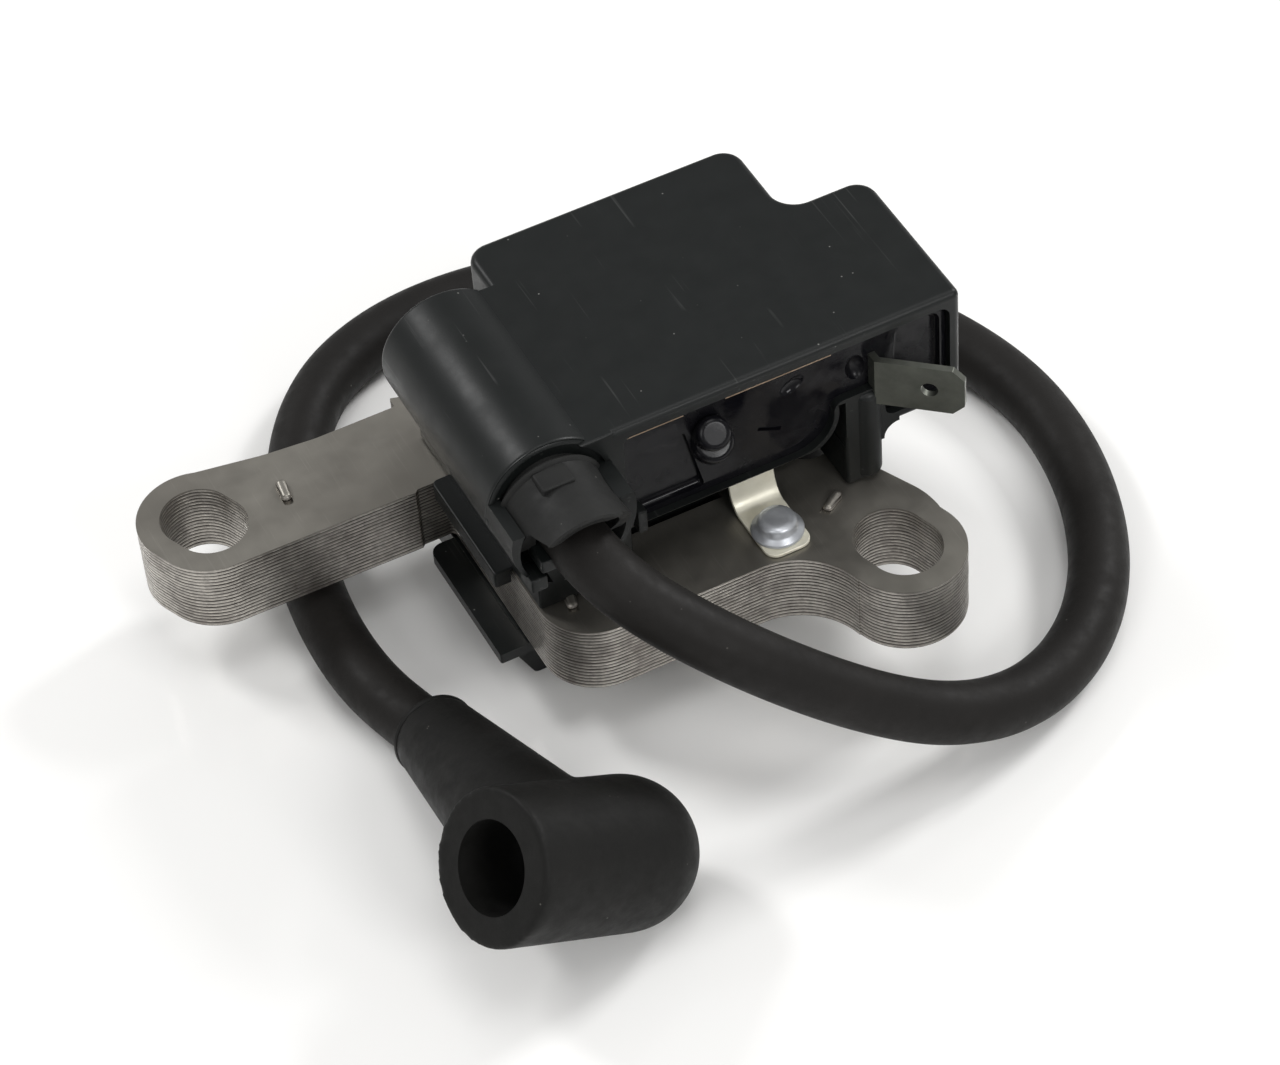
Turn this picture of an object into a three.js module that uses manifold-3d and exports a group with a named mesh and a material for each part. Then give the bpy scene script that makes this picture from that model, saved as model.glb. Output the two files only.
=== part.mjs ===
import * as THREE from "three";
import { mergeVertices } from "three/addons/utils/BufferGeometryUtils.js";
import Module from "manifold-3d";

// Ignition coil for a small engine, in millimetres.
// X runs to the right along the core, Y runs back towards the flywheel, Z is up.
// The origin is under the middle of the coil (lead and boot left out), on the floor.

const wasm = await Module();
wasm.setup();

const gap = 0.3; // air left between pieces that touch in the real coil

// Core of stacked steel sheets
const coreBottom = 8.5;
const sheetThickness = 0.5;
const packSheets = 16;
const sheetSeam = 0.02;
const packBottom = coreBottom + sheetThickness + sheetSeam;
const packTop = packBottom + packSheets * sheetThickness;
const coreTop = packTop + sheetSeam + sheetThickness;
const armFront = 12.9;
const armBack = 25.75;
const poleLeftX = -9.7;
const legLeftX = -9.2;
const legLeftInnerX = 1.5;
const legRightInnerX = 15.5;
const legRightX = 24.5;
const yokeFront = -16.3;
const yokeBack = -5;
const poleY = 27.2;
const poleRadius = 60;
const poleCentreX = 8.5;
const cornerRadius = 6.5;
const earRadius = 6.8;
const slotRadius = 4.2;
const slotTravel = 2;
const leftEar = new THREE.Vector2(-35.3, 20.5);
const leftSlotWay = new THREE.Vector2(-0.4, 0.92);
const rightEar = new THREE.Vector2(legRightX + 4.33, -20.45);
const rightSlotWay = new THREE.Vector2(-0.32, 0.95);

// Shell
const wall = 1.4;
const boxFloor = coreTop + 6.96;
const boxHeight = 15.7;
const shellTop = boxFloor + boxHeight;
const tubLeft = -9.6;
const tubRight = legRightX + 8.3;
const boxLeft = -0.8;
const boxRight = tubRight - 0.5;
const boxBack = 22.2;
const boxFront = -10.6;
const blockRight = boxRight + 10.15;
const blockBack = 10.25;
const shellEdge = 2.4;
const legFront = -4.5;
const legInnerX = tubRight - 4.7;
const tubFront = -3.4;
const tubBack = 20;
const tubTaper = 3.5;
const flangeReach = 2.2;
const flangeThickness = 1.5;
const windowLeft = 1.9;
const windowRight = tubRight - 6;
const windowCorner = 4.5;
const windowTop = shellTop - 1.6;
const windowLip = 0.6;
const cellSill = boxFloor + 6.44;
const resinFront = -10.2;
const resinBack = -6;

// High-tension tower
const towerX = -6.7;
const towerZ = boxFloor + 10.1;
const towerRadius = 7.3;
const towerBore = towerRadius - 1.6;
const towerBack = 16.2;
const towerFront = -10.2;

// Lead, cap and boot
const leadRadius = 3.45;
const leadSides = 12;
const capX = -6.9;
const leadStandoff = 1.15;
const capZ = towerZ - (towerBore - leadRadius - leadStandoff);
const capFront = -19.3;
const capRadius = towerRadius - 1.4;
const capMouth = towerRadius - 0.95;
const capCollarBack = -6;
const cradleFront = -15.9;
const cradleTop = towerZ + 1.9;
const leadTowerEnd = 2.6;
const spikeRadius = 0.7;
const contactRadius = towerBore - 1.5;
const bootBore = leadRadius + 1.55;
const bootRadius = bootBore + 3.35;
const bootLength = 18.3;
const bootBoreDepth = 19;
const bootDome = new THREE.Vector3(-14, -37, bootRadius + 0.05);
const bootWay = new THREE.Vector3(-0.83, -0.13, 0.53);
const sleeveMouthRadius = leadRadius + 1.3;
const sleeveMouth = new THREE.Vector3(-22.9, -9.9, sleeveMouthRadius + 0.1);
const sleeveRootRadius = 7.8;
const sleeveFromDome = 8.8;
const sleeveGrip = 13;
const leadFit = 0.45;
const springDepth = 9;
const springWall = 0.5;

// Windings and electronics
const chargeFlangeReach = 5.9;
const chargeFront = -1.4;
const chargeBack = 17;
const chargeFlange = 1;
const chargeTube = 0.9;
const chargeWinding = 3.4;
const chargeCorner = 5;
const coilAxisX = 10.4;
const coilDrop = 0.05; // from the middle of the box
const coilAxisZ = boxFloor + boxHeight / 2 - coilDrop;
const coilFront = -3;
const coilBack = 19;
const bobbinWall = 0.6;
const primaryDepth = 0.9;
const secondaryDepth = 0.7;
const bobbinRim = 0.1;
const fineGap = 0.1;
const coilClearance = 0.4;
const coilBuild = 2 * bobbinWall + primaryDepth + secondaryDepth + 3 * gap + fineGap + bobbinRim;
const rodRadius = boxHeight / 2 - wall - coilBuild - coilDrop - coilClearance;
const coilFlange = 0.8;
const boardThickness = 1.2;
const boardX = 18.2;
const boardFront = -4.5;
const boardBack = 18;
const boardLow = boxFloor + 2.1;
const boardHigh = shellTop - 1.9;
const resistorRadius = 1.1;
const diodeRadius = 0.9;
const smallPartsZ = boardHigh - 1.4;
const capacitorLift = 0.2;
const capacitorClearance = 1.8;
const capacitorRoom = smallPartsZ - resistorRadius - capacitorClearance - boardLow - capacitorLift;
const capacitorRadius = capacitorRoom / 2;
const capacitorLength = 14;
const capacitorZ = boardLow + capacitorLift + capacitorRadius;
const triggerX = boxRight + 4.3;
const triggerY = 1.6;
const triggerLow = boxFloor + 2.1;
const triggerHigh = shellTop - 2.8;
const triggerRadius = 3.9;
const triggerTube = 1.9;

// Terminals
const bladeWidth = 6.35;
const bladeThickness = 0.8;
const bladeHole = 1;
const bladeDrop = 0.075; // from the middle of the box
const bladeLow = boxFloor + (boxHeight - bladeWidth) / 2 - bladeDrop;
const bladeX = tubRight - 0.9;
const bladeBendY = -10.9;
const bladeLength = 9.6;
const bladeTurn = -41;
const strapWidth = 5.5;
const strapThickness = 0.5;
const strapBack = -6.2;
const strapTop = boxFloor - 1.5;
const rivetX = 18.2;
const rivetY = -12.8;
const rivetFlange = 3;
const rivetHead = 2;
const rivetHeight = 2;
const rivetShank = 1.25;

const steelShade = 0x8a8580;
const blackShade = 0x17191a;
const rubberShade = 0x1d1b1a;
const copperShade = 0xb0622c;
const nylonShade = 0xd8d2c0;

const coilGroup = new THREE.Group();
coilGroup.name = "ignition_coil";

// A closed geometry as a solid that can be joined and cut.
function solidOf(geometry) {
  const bare = geometry.clone();
  bare.deleteAttribute("normal");
  bare.deleteAttribute("uv");
  const merged = mergeVertices(bare, 1e-4);
  return new wasm.Manifold(
    new wasm.Mesh({
      numProp: 3,
      vertProperties: merged.attributes.position.array,
      triVerts: new Uint32Array(merged.index.array),
    }),
  );
}

function block(x0, x1, y0, y1, z0, z1) {
  const geometry = new THREE.BoxGeometry(x1 - x0, y1 - y0, z1 - z0);
  geometry.translate((x0 + x1) / 2, (y0 + y1) / 2, (z0 + z1) / 2);
  return solidOf(geometry);
}

// An outline in X and Y, raised from z0 to z1.
function prism(shape, z0, z1, steps = 6) {
  const geometry = new THREE.ExtrudeGeometry(shape, {
    depth: z1 - z0,
    bevelEnabled: false,
    curveSegments: steps,
  });
  geometry.translate(0, 0, z0);
  return solidOf(geometry);
}

// An outline in X and Z, run from y0 to y1.
function prismAlongY(shape, y0, y1, steps = 6) {
  const geometry = new THREE.ExtrudeGeometry(shape, {
    depth: y1 - y0,
    bevelEnabled: false,
    curveSegments: steps,
  });
  geometry.rotateX(Math.PI / 2);
  geometry.translate(0, y1, 0);
  return solidOf(geometry);
}

// A rod or cone from one point to another.
function rod(from, to, r0, r1 = r0, sides = 32) {
  const along = to.clone().sub(from);
  const geometry = new THREE.CylinderGeometry(r1, r0, along.length(), sides);
  const up = new THREE.Vector3(0, 1, 0);
  const turn = new THREE.Quaternion().setFromUnitVectors(up, along.clone().normalize());
  geometry.applyQuaternion(turn);
  const middle = from.clone().add(to).multiplyScalar(0.5);
  geometry.translate(middle.x, middle.y, middle.z);
  return solidOf(geometry);
}

function rodY(x, z, y0, y1, r0, r1 = r0, sides = 32) {
  return rod(new THREE.Vector3(x, y0, z), new THREE.Vector3(x, y1, z), r0, r1, sides);
}

function ball(centre, radius) {
  const geometry = new THREE.SphereGeometry(radius, 28, 18);
  geometry.translate(centre.x, centre.y, centre.z);
  return solidOf(geometry);
}

function joined(list) {
  return list.reduce((sum, piece) => sum.add(piece));
}

// A shape with each corner rounded by its own radius: [x, y, radius].
function roundedShape(corners) {
  const shape = new THREE.Shape();
  const count = corners.length;
  corners.forEach(([x, y, radius], i) => {
    const here = new THREE.Vector2(x, y);
    const before = new THREE.Vector2(...corners[(i + count - 1) % count].slice(0, 2));
    const after = new THREE.Vector2(...corners[(i + 1) % count].slice(0, 2));
    const inWay = before.clone().sub(here).normalize();
    const outWay = after.clone().sub(here).normalize();
    const half = Math.acos(THREE.MathUtils.clamp(inWay.dot(outWay), -1, 1)) / 2;
    const reach = radius / Math.tan(half);
    const start = here.clone().add(inWay.multiplyScalar(reach));
    const end = here.clone().add(outWay.multiplyScalar(reach));
    if (i === 0) shape.moveTo(start.x, start.y);
    else shape.lineTo(start.x, start.y);
    if (radius > 0) shape.quadraticCurveTo(x, y, end.x, end.y);
  });
  shape.closePath();
  return shape;
}

function addPiece(name, solid, colour, metalness, roughness) {
  const mesh = solid.getMesh();
  const count = mesh.numVert;
  const places = new Float32Array(count * 3);
  for (let i = 0; i < count; i += 1) {
    const from = i * mesh.numProp;
    places.set(mesh.vertProperties.subarray(from, from + 3), i * 3);
  }
  const geometry = new THREE.BufferGeometry();
  geometry.setAttribute("position", new THREE.BufferAttribute(places, 3));
  geometry.setIndex(new THREE.BufferAttribute(mesh.triVerts, 1));
  geometry.computeVertexNormals();
  const material = new THREE.MeshStandardMaterial({ color: colour, metalness, roughness });
  const piece = new THREE.Mesh(geometry, material);
  piece.name = name;
  coilGroup.add(piece);
}

// The outline of one sheet, grown by a margin where it has to clear the shell.
function sheetOutline(margin = 0) {
  const leftOut = leftEar.x - earRadius;
  const rightOut = rightEar.x + earRadius;
  return roundedShape([
    [leftEar.x + 0.6, armBack + 2.3 + margin, 0],
    [leftEar.x + 7.8, armBack + 0.65 + margin, 12],
    [poleLeftX - 10.5, armBack + margin, 6],
    [poleLeftX - margin, armBack + margin, 0],
    [poleLeftX - margin, poleY + margin, 0],
    [legRightX + margin, poleY + margin, 0],
    [legRightX + margin, yokeBack + margin, 3],
    [rightEar.x + 1, yokeBack + margin, 3],
    [rightOut - 4.4 + margin, yokeBack - 2.5 + margin, 3],
    [rightOut - 0.6 + margin, rightEar.y + 5, 9],
    [rightOut - 0.05 + margin, rightEar.y, 3],
    [rightEar.x - 2.3, rightEar.y - 1.5 - margin, 0],
    [rightEar.x - 6.4, rightEar.y - 2.65 - margin, 0],
    [rightEar.x - 8.05, yokeFront - margin, 8.5],
    [legLeftX - margin, yokeFront - margin, cornerRadius + margin],
    [legLeftX - margin, armFront - margin, 0.6],
    [leftEar.x - 0.2, armFront - 0.1 - margin, 0],
    [leftOut + 4.8, leftEar.y, 0],
  ]);
}

function slotCut(centre, way, radius, z0, z1) {
  const step = way.clone().normalize().multiplyScalar(slotTravel / 2);
  const ends = [centre.clone().add(step), centre.clone().sub(step)];
  const discs = ends.map((end) =>
    rod(new THREE.Vector3(end.x, end.y, z0), new THREE.Vector3(end.x, end.y, z1), radius, radius, 28),
  );
  return wasm.Manifold.hull(discs);
}

function sheetSolid(z0, z1, margin = 0) {
  const ears = [
    slotCut(leftEar, leftSlotWay, earRadius, z0, z1),
    slotCut(rightEar, rightSlotWay, earRadius, z0, z1),
  ];
  const window = block(
    legLeftInnerX + margin,
    legRightInnerX - margin,
    yokeBack + margin,
    poleY + 9,
    z0 - 1,
    z1 + 1,
  );
  const flywheelY = poleY + Math.sqrt(poleRadius ** 2 - (poleCentreX - poleLeftX) ** 2);
  const flywheel = rod(
    new THREE.Vector3(poleCentreX, flywheelY, z0 - 1),
    new THREE.Vector3(poleCentreX, flywheelY, z1 + 1),
    poleRadius,
    poleRadius,
    160,
  );
  let body = joined([prism(sheetOutline(margin), z0, z1), ...ears]);
  body = body.subtract(window);
  if (margin > 0) return body;
  body = body.subtract(flywheel);
  body = body.subtract(slotCut(leftEar, leftSlotWay, slotRadius, z0 - 1, z1 + 1));
  return body.subtract(slotCut(rightEar, rightSlotWay, slotRadius, z0 - 1, z1 + 1));
}

function interlockMark(x, y, turn) {
  const mark = roundedShape([
    [-1.5, -0.5, 0.4],
    [1.4, -0.5, 0.4],
    [1.4, 0.5, 0.4],
    [-1.5, 0.5, 0.4],
  ]);
  return prism(mark, coreTop - 0.2, coreTop + gap / 2, 2)
    .rotate([0, 0, turn])
    .translate([x, y, 0]);
}

function addCore() {
  const hole = (z0, z1) =>
    rod(new THREE.Vector3(rivetX, rivetY, z0), new THREE.Vector3(rivetX, rivetY, z1), rivetShank + gap);
  const bottom = sheetSolid(coreBottom, coreBottom + sheetThickness);
  const pack = sheetSolid(packBottom, packTop).subtract(hole(packTop - 4, packTop + 1));
  const topSheet = sheetSolid(packTop + sheetSeam, coreTop).subtract(hole(packTop - 1, coreTop + 1));
  const marks = [
    interlockMark(-25.9, 19.9, -96),
    interlockMark(25.4, -11.9, 210),
    interlockMark(-5.7, -10.2, 260),
  ];
  addPiece("core_lamination_bottom", bottom, steelShade, 0.9, 0.45);
  addPiece("core_lamination_pack", pack, steelShade, 0.9, 0.5);
  addPiece("core_lamination_top", joined([topSheet, ...marks]), steelShade, 0.9, 0.4);
}

// The stepped outline of the upper box, drawn in by a margin.
function boxOutline(inset) {
  const edge = Math.max(shellEdge - inset, 0.6);
  return roundedShape([
    [boxLeft + inset, boxFront - (inset > 0 ? 1 : 0), 0],
    [blockRight - inset, boxFront - (inset > 0 ? 1 : 0), 0],
    [blockRight - inset, blockBack - inset, edge],
    [boxRight - inset, blockBack - inset, inset > 0 ? 4.2 : 3],
    [boxRight - inset, boxBack - inset, edge],
    [boxLeft + inset, boxBack - inset, edge],
  ]);
}

function towerWall() {
  const x = towerX;
  const side = roundedShape([
    [legLeftX, coreTop + gap, 0],
    [boxLeft + 3, coreTop + gap, 0],
    [boxLeft + 3, towerZ, 0],
    [x - towerRadius, towerZ, 0],
    [x - towerRadius, towerZ - 1.5, 3],
    [legLeftX, towerZ - towerRadius + 0.5, 2],
  ]);
  return prismAlongY(side, towerFront, towerBack - 1);
}

// The open face of the box: a wide window with a round low corner, and the cell beside it.
function faceOutline(inset) {
  const low = boxFloor + windowLip + inset;
  const high = windowTop - inset;
  const cellLeft = tubRight + 0.2 + inset;
  const cellRight = blockRight - wall - inset;
  return roundedShape([
    [windowLeft + inset, low, 1],
    [windowRight - inset, low, windowCorner],
    [windowRight - inset, cellSill + inset, 1.2],
    [cellLeft, cellSill + inset, 0.8],
    [cellLeft, low + 0.8, 1.2],
    [cellRight, low + 0.8, 1.4],
    [cellRight, high, 1.4],
    [windowLeft + inset, high, 1],
  ]);
}

// The open corner between the window and the leg of the shell.
function faceVoid() {
  const reach = windowCorner + windowLip;
  const middleX = windowRight + windowLip - reach;
  const middleZ = boxFloor + reach;
  const corner = block(middleX, legInnerX, boxFront - 1, legFront, boxFloor - 1, middleZ + 0.9);
  return corner.subtract(rodY(middleX, middleZ, boxFront - 2, legFront + 1, reach, reach, 40));
}

// A trough that carries the tower's wall on round the lead cap, with two small lugs at its end.
function cradle() {
  const outer = rodY(towerX, towerZ, cradleFront, towerFront + 1, towerRadius, towerRadius, 48);
  const keep = block(towerX - 12, towerX + 12, cradleFront, towerFront + 1, coreTop + gap, cradleTop);
  const edge = capX - towerRadius;
  const upperLug = block(
    edge + 0.6, edge + 2.5, cradleFront - 1.4, cradleFront + 1.9, capZ - 2.1, capZ - 0.3,
  );
  const lowerLug = block(edge + 1.6, edge + 3.6, cradleFront - 1, cradleFront + 1.9, capZ - 4.9, capZ - 2.9);
  return joined([outer.intersect(keep), upperLug, lowerLug]);
}

function tubSolid(inset) {
  const low = tubTaper - inset * 0.4;
  const roof = boxFloor + 1 + inset * 2;
  const outline = roundedShape([
    [tubLeft + inset, coreBottom - gap, 0],
    [tubLeft + inset, low, 0],
    [tubLeft + low * 0.5 + inset, inset, 0.8],
    [tubRight - low - inset, inset, 2],
    [tubRight - inset, low + 3, 2],
    [tubRight - inset, roof, 0],
    [legLeftX + inset, roof, 0],
    [legLeftX + inset, coreBottom - gap, 0],
  ]);
  return prismAlongY(outline, tubFront + inset, tubBack - inset);
}

function addShell() {
  const middle = block(legLeftX, tubRight, legFront, tubBack, coreTop + gap, boxFloor + wall);
  const filletRadius = 1.8;
  const filletCorner = block(
    tubRight - 1, tubRight + filletRadius, boxFront, legFront + 2, boxFloor - filletRadius, boxFloor + 1,
  ).subtract(
    rodY(tubRight + filletRadius, boxFloor - filletRadius, boxFront - 1, legFront + 3, filletRadius),
  );
  const rightLeg = block(legInnerX, tubRight, boxFront, legFront + 2, coreTop + gap, boxFloor + wall);
  const column = rod(
    new THREE.Vector3(tubRight - 1.75, boxFront + 1.1, coreTop + gap),
    new THREE.Vector3(tubRight - 1.75, boxFront + 1.1, cellSill - 0.3),
    1.75,
  );
  const filler = block(
    towerX + towerRadius - 4.1, boxLeft + 1.8, boxFront, towerBack - 0.4, towerZ - 1.6, shellTop,
  );
  const flangeA = block(
    legLeftX - flangeReach, legLeftX + 1, tubFront, armFront - gap,
    coreTop - flangeThickness, coreTop + 2 * gap,
  );
  const flangeB = block(
    tubLeft - 3.1, tubLeft + 2, tubFront - 2.4, armFront - gap,
    coreBottom - gap - flangeThickness, coreBottom - gap,
  );
  const tower = rodY(towerX, towerZ, towerFront, towerBack, towerRadius, towerRadius, 48);
  let shell = joined([
    prism(boxOutline(0), boxFloor, shellTop),
    middle,
    rightLeg,
    column,
    filler,
    filletCorner,
    tower,
    towerWall(),
    tubSolid(0),
    flangeA,
    flangeB,
    cradle(),
  ]);
  const upperRoom = prism(boxOutline(wall), boxFloor + wall, shellTop - wall).intersect(
    block(-60, 60, legFront + wall, 60, 0, 60),
  );
  const face = prismAlongY(faceOutline(0), boxFront - 1, legFront + wall + 0.5);
  const towerRoom = rodY(towerX, towerZ, towerFront - 1, towerBack - wall, towerBore, towerBore, 48);
  const capRoom = rodY(capX, capZ, capFront - 2, towerFront + 0.6, capRadius + 0.25, capRadius + 0.25, 48);
  const lowerRoom = tubSolid(wall).intersect(
    block(tubLeft, tubRight, tubFront + wall, tubBack - wall, 0, boxFloor + 3),
  );
  const underTower = block(legLeftX, boxLeft + wall, tubFront, tubBack, boxFloor, shellTop);
  const coreRoom = sheetSolid(coreBottom - gap, coreTop + gap, gap);
  shell = shell.subtract(upperRoom);
  shell = shell.subtract(face);
  shell = shell.subtract(faceVoid());
  shell = shell.subtract(lowerRoom.subtract(underTower));
  shell = shell.subtract(towerRoom);
  shell = shell.subtract(capRoom);
  shell = shell.subtract(coreRoom);
  shell = shell.subtract(bladeSolid(gap));
  addPiece("shell", shell, blackShade, 0, 0.42);
}

function bladeSolid(margin) {
  const thick = bladeThickness / 2 + margin;
  const low = bladeLow - margin;
  const high = bladeLow + bladeWidth + margin;
  const root = block(bladeX - thick, bladeX + thick, bladeBendY, resinBack + 2, low, high);
  const bend = rod(
    new THREE.Vector3(bladeX, bladeBendY, low),
    new THREE.Vector3(bladeX, bladeBendY, high),
    thick,
    thick,
    24,
  );
  const chamfer = 1.3;
  const profile = new THREE.Shape([
    new THREE.Vector2(0, low),
    new THREE.Vector2(bladeLength - chamfer, low),
    new THREE.Vector2(bladeLength, low + chamfer),
    new THREE.Vector2(bladeLength, high - chamfer),
    new THREE.Vector2(bladeLength - chamfer, high),
    new THREE.Vector2(0, high),
  ]);
  const middle = bladeLow + bladeWidth / 2;
  const blade = prismAlongY(profile, -thick, thick)
    .subtract(rodY(bladeLength * 0.6, middle, -2, 2, bladeHole, bladeHole, 24))
    .rotate([0, 0, bladeTurn])
    .translate([bladeX, bladeBendY, 0]);
  return joined([root, bend, blade]);
}

function addTerminals() {
  addPiece("stop_terminal", bladeSolid(0), 0x9a9b90, 0.9, 0.35);
  const half = strapWidth / 2;
  const low = coreTop + 0.05;
  const thick = strapThickness;
  const side = roundedShape([
    [rivetY - 3.4, low, 0],
    [strapBack - 2, low, 0],
    [strapBack, low + 2.2, 2],
    [strapBack, strapTop, 0],
    [strapBack - thick, strapTop, 0],
    [strapBack - thick, low + 2.4, 2],
    [strapBack - 2 - thick / 2, low + thick, 0],
    [rivetY - 3.4, low + thick, 0],
  ]);
  const tail = prism(side, rivetX - half, rivetX + half)
    .rotate([90, 0, 90]);
  const hole = rod(
    new THREE.Vector3(rivetX, rivetY, coreTop - 2),
    new THREE.Vector3(rivetX, rivetY, coreTop + 2),
    rivetShank + gap,
    rivetShank + gap,
    24,
  );
  addPiece("ground_strap", tail.subtract(hole), 0xc9c3a2, 0.9, 0.4);

  const seat = coreTop + strapThickness + 0.1;
  const profile = [
    [0, seat - 3.2],
    [rivetShank, seat - 3.2],
    [rivetShank, seat],
    [rivetFlange, seat],
    [rivetFlange, seat + 0.3],
    [rivetHead + 0.25, seat + 0.75],
    [rivetHead, seat + rivetHeight - 0.35],
    [rivetHead - 0.5, seat + rivetHeight],
    [0, seat + rivetHeight],
  ].map(([r, z]) => new THREE.Vector2(r, z));
  const turned = new THREE.LatheGeometry(profile, 32);
  turned.rotateX(Math.PI / 2);
  turned.translate(rivetX, rivetY, 0);
  addPiece("rivet", solidOf(turned), 0xa9adb0, 1, 0.3);
}

function addResin() {
  const slab = prismAlongY(faceOutline(gap), resinFront, resinBack);
  const knob = rod(
    new THREE.Vector3(coilAxisX + 2, resinFront + 1, coilAxisZ + 0.9),
    new THREE.Vector3(coilAxisX + 1.6, resinFront - 1.5, coilAxisZ + 2.9),
    2.1,
    1.9,
    24,
  );
  addPiece("epoxy_fill", slab.add(knob).subtract(bladeSolid(gap)), 0x0b0c0d, 0, 0.08);
}

// The route of the lead's middle: out of the tower, forward and down to the floor,
// round the right end, behind the coil, under the left arm and up into the boot.
function leadRoute() {
  const into = sleeveWay().multiplyScalar(sleeveGrip);
  const rest = leadRadius + 0.07;
  const points = [
    [capX, leadTowerEnd, capZ],
    [capX, -8, capZ],
    [capX, -15.5, capZ],
    [-6.4, -20.4, capZ - 0.5],
    [-4.4, -25, capZ - 2.2],
    [-0.8, -28.9, capZ - 4.9],
    [3.6, -32, capZ - 8.5],
    [8.7, -34.2, capZ - 12.9],
    [14.2, -35.9, rest + 12.48],
    [19.6, -37.1, rest + 8.48],
    [24.4, -37.8, rest + 5.48],
    [29.7, -38, rest + 3.18],
    [35.2, -37.2, rest + 1.48],
    [41, -34.9, rest + 0.48],
    [46.2, -31.3, rest + 0.08],
    [50.4, -26.8, rest],
    [54, -21.2, rest],
    [57, -14, rest],
    [58.8, -6, rest],
    [59.2, 2, rest],
    [57.9, 10, rest],
    [54.6, 19, rest],
    [49, 28, rest],
    [41.4, 36.2, rest],
    [32, 43.2, rest],
    [21.8, 48.4, rest],
    [11, 51.2, rest],
    [1.2, 51.3, rest],
    [-7.8, 48.6, rest],
    [-14.6, 43, rest],
    [-19.6, 35.2, rest],
    [-23.4, 26, rest],
    [-25.6, 16, rest],
    [-26.2, 6.4, rest],
    [-25.2, -2, rest + 0.08],
  ].map((p) => new THREE.Vector3(...p));
  points.push(sleeveMouth.clone(), sleeveMouth.clone().add(into));
  return points;
}

function sleeveWay() {
  const root = bootDome.clone().add(bootWay.clone().normalize().multiplyScalar(sleeveFromDome));
  return root.sub(sleeveMouth).normalize();
}

function addLead() {
  const section = new THREE.Shape();
  for (let i = 0; i < leadSides; i += 1) {
    const angle = (i * 2 * Math.PI) / leadSides;
    const x = leadRadius * Math.cos(angle);
    const y = leadRadius * Math.sin(angle);
    if (i === 0) section.moveTo(x, y);
    else section.lineTo(x, y);
  }
  section.closePath();
  const path = new THREE.CatmullRomCurve3(leadRoute(), false, "centripetal");
  const tube = new THREE.ExtrudeGeometry(section, {
    extrudePath: path,
    steps: 60,
    curveSegments: 1,
    bevelEnabled: false,
  });
  addPiece("plug_lead", solidOf(tube), rubberShade, 0, 0.55);
}

// The hood covers the upper half of the mouth; its lower half is cut away on a slant.
function addCap() {
  const collar = rodY(towerX, towerZ, towerFront - 0.5, capCollarBack, towerBore - gap);
  const neck = rodY(capX, capZ, towerFront - 0.8, towerFront, capRadius - 0.6);
  const hood = rodY(capX, capZ, capFront, towerFront - 0.6, capMouth, capRadius - 0.4);
  const bore = rodY(capX, capZ, capFront - 1, capCollarBack + 1, leadRadius + gap);
  const mouth = rodY(capX, capZ, capFront - 1, capFront + 4, capMouth - 0.95, leadRadius + gap);
  const shallow = rodY(towerX, towerZ, towerFront - 0.5, capCollarBack + 1, towerBore + 2);
  const front = neck.add(hood).subtract(shallow);
  const slant = new THREE.Shape([
    new THREE.Vector2(capFront - 5, capZ - 9),
    new THREE.Vector2(towerFront - 2.2, capZ - 9),
    new THREE.Vector2(towerFront - 2.2, capZ - 1.4),
    new THREE.Vector2(capFront + 3.6, capZ - 1.4),
    new THREE.Vector2(capFront, capZ + 4.7),
    new THREE.Vector2(capFront - 5, capZ + 4.7),
  ]);
  const below = prism(slant, capX - 12, capX + 12).rotate([90, 0, 90]);
  addPiece("lead_cap", collar.add(front).subtract(bore).subtract(mouth).subtract(below), blackShade, 0, 0.5);
}

function addBoot() {
  const way = bootWay.clone().normalize();
  const at = (reach) => bootDome.clone().add(way.clone().multiplyScalar(reach));
  const sleeve = sleeveWay();
  const along = (reach) => sleeveMouth.clone().add(sleeve.clone().multiplyScalar(reach));
  const rootReach = sleeveMouth.distanceTo(at(sleeveFromDome));
  const outside = joined([
    ball(bootDome, bootRadius),
    rod(bootDome, at(bootLength), bootRadius, bootRadius, 48),
    rod(along(0), along(rootReach - 2), sleeveMouthRadius, sleeveRootRadius, 36),
  ]);
  const bore = rod(at(bootLength - bootBoreDepth), at(bootLength + 2), bootBore, bootBore, 32);
  const grip = rod(along(-2), along(sleeveGrip + gap), leadRadius + leadFit, leadRadius + leadFit, 28);
  addPiece("plug_boot", outside.subtract(bore).subtract(grip), rubberShade, 0, 0.7);

  const ring = rod(at(bootLength - bootBoreDepth + gap), at(springDepth), bootBore - gap, bootBore - gap, 28);
  const inner = rod(
    at(bootLength - bootBoreDepth - 1), at(springDepth + 1),
    bootBore - gap - springWall, bootBore - gap - springWall, 28,
  );
  addPiece("boot_spring_terminal", ring.subtract(inner), 0xb8b8b4, 1, 0.3);
}

function addTowerContact() {
  const back = towerBack - wall - gap;
  const disc = rodY(towerX, towerZ, back - 1.4, back, contactRadius);
  const spike = rodY(capX, capZ, leadTowerEnd + gap, back - 1, spikeRadius);
  addPiece("ht_terminal", disc.add(spike), 0xc8a050, 1, 0.35);
}

// A round bobbin lying along Y with a flange at each end.
function bobbinY(bore, outer, flange, y0, y1) {
  const x = coilAxisX;
  const z = coilAxisZ;
  const body = joined([
    rodY(x, z, y0, y1, outer),
    rodY(x, z, y0, y0 + coilFlange, flange),
    rodY(x, z, y1 - coilFlange, y1, flange),
  ]);
  return body.subtract(rodY(x, z, y0 - 1, y1 + 1, bore));
}

function windingY(inner, outer, y0, y1) {
  const body = rodY(coilAxisX, coilAxisZ, y0 + coilFlange + gap, y1 - coilFlange - gap, outer);
  return body.subtract(rodY(coilAxisX, coilAxisZ, y0, y1, inner));
}

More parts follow.
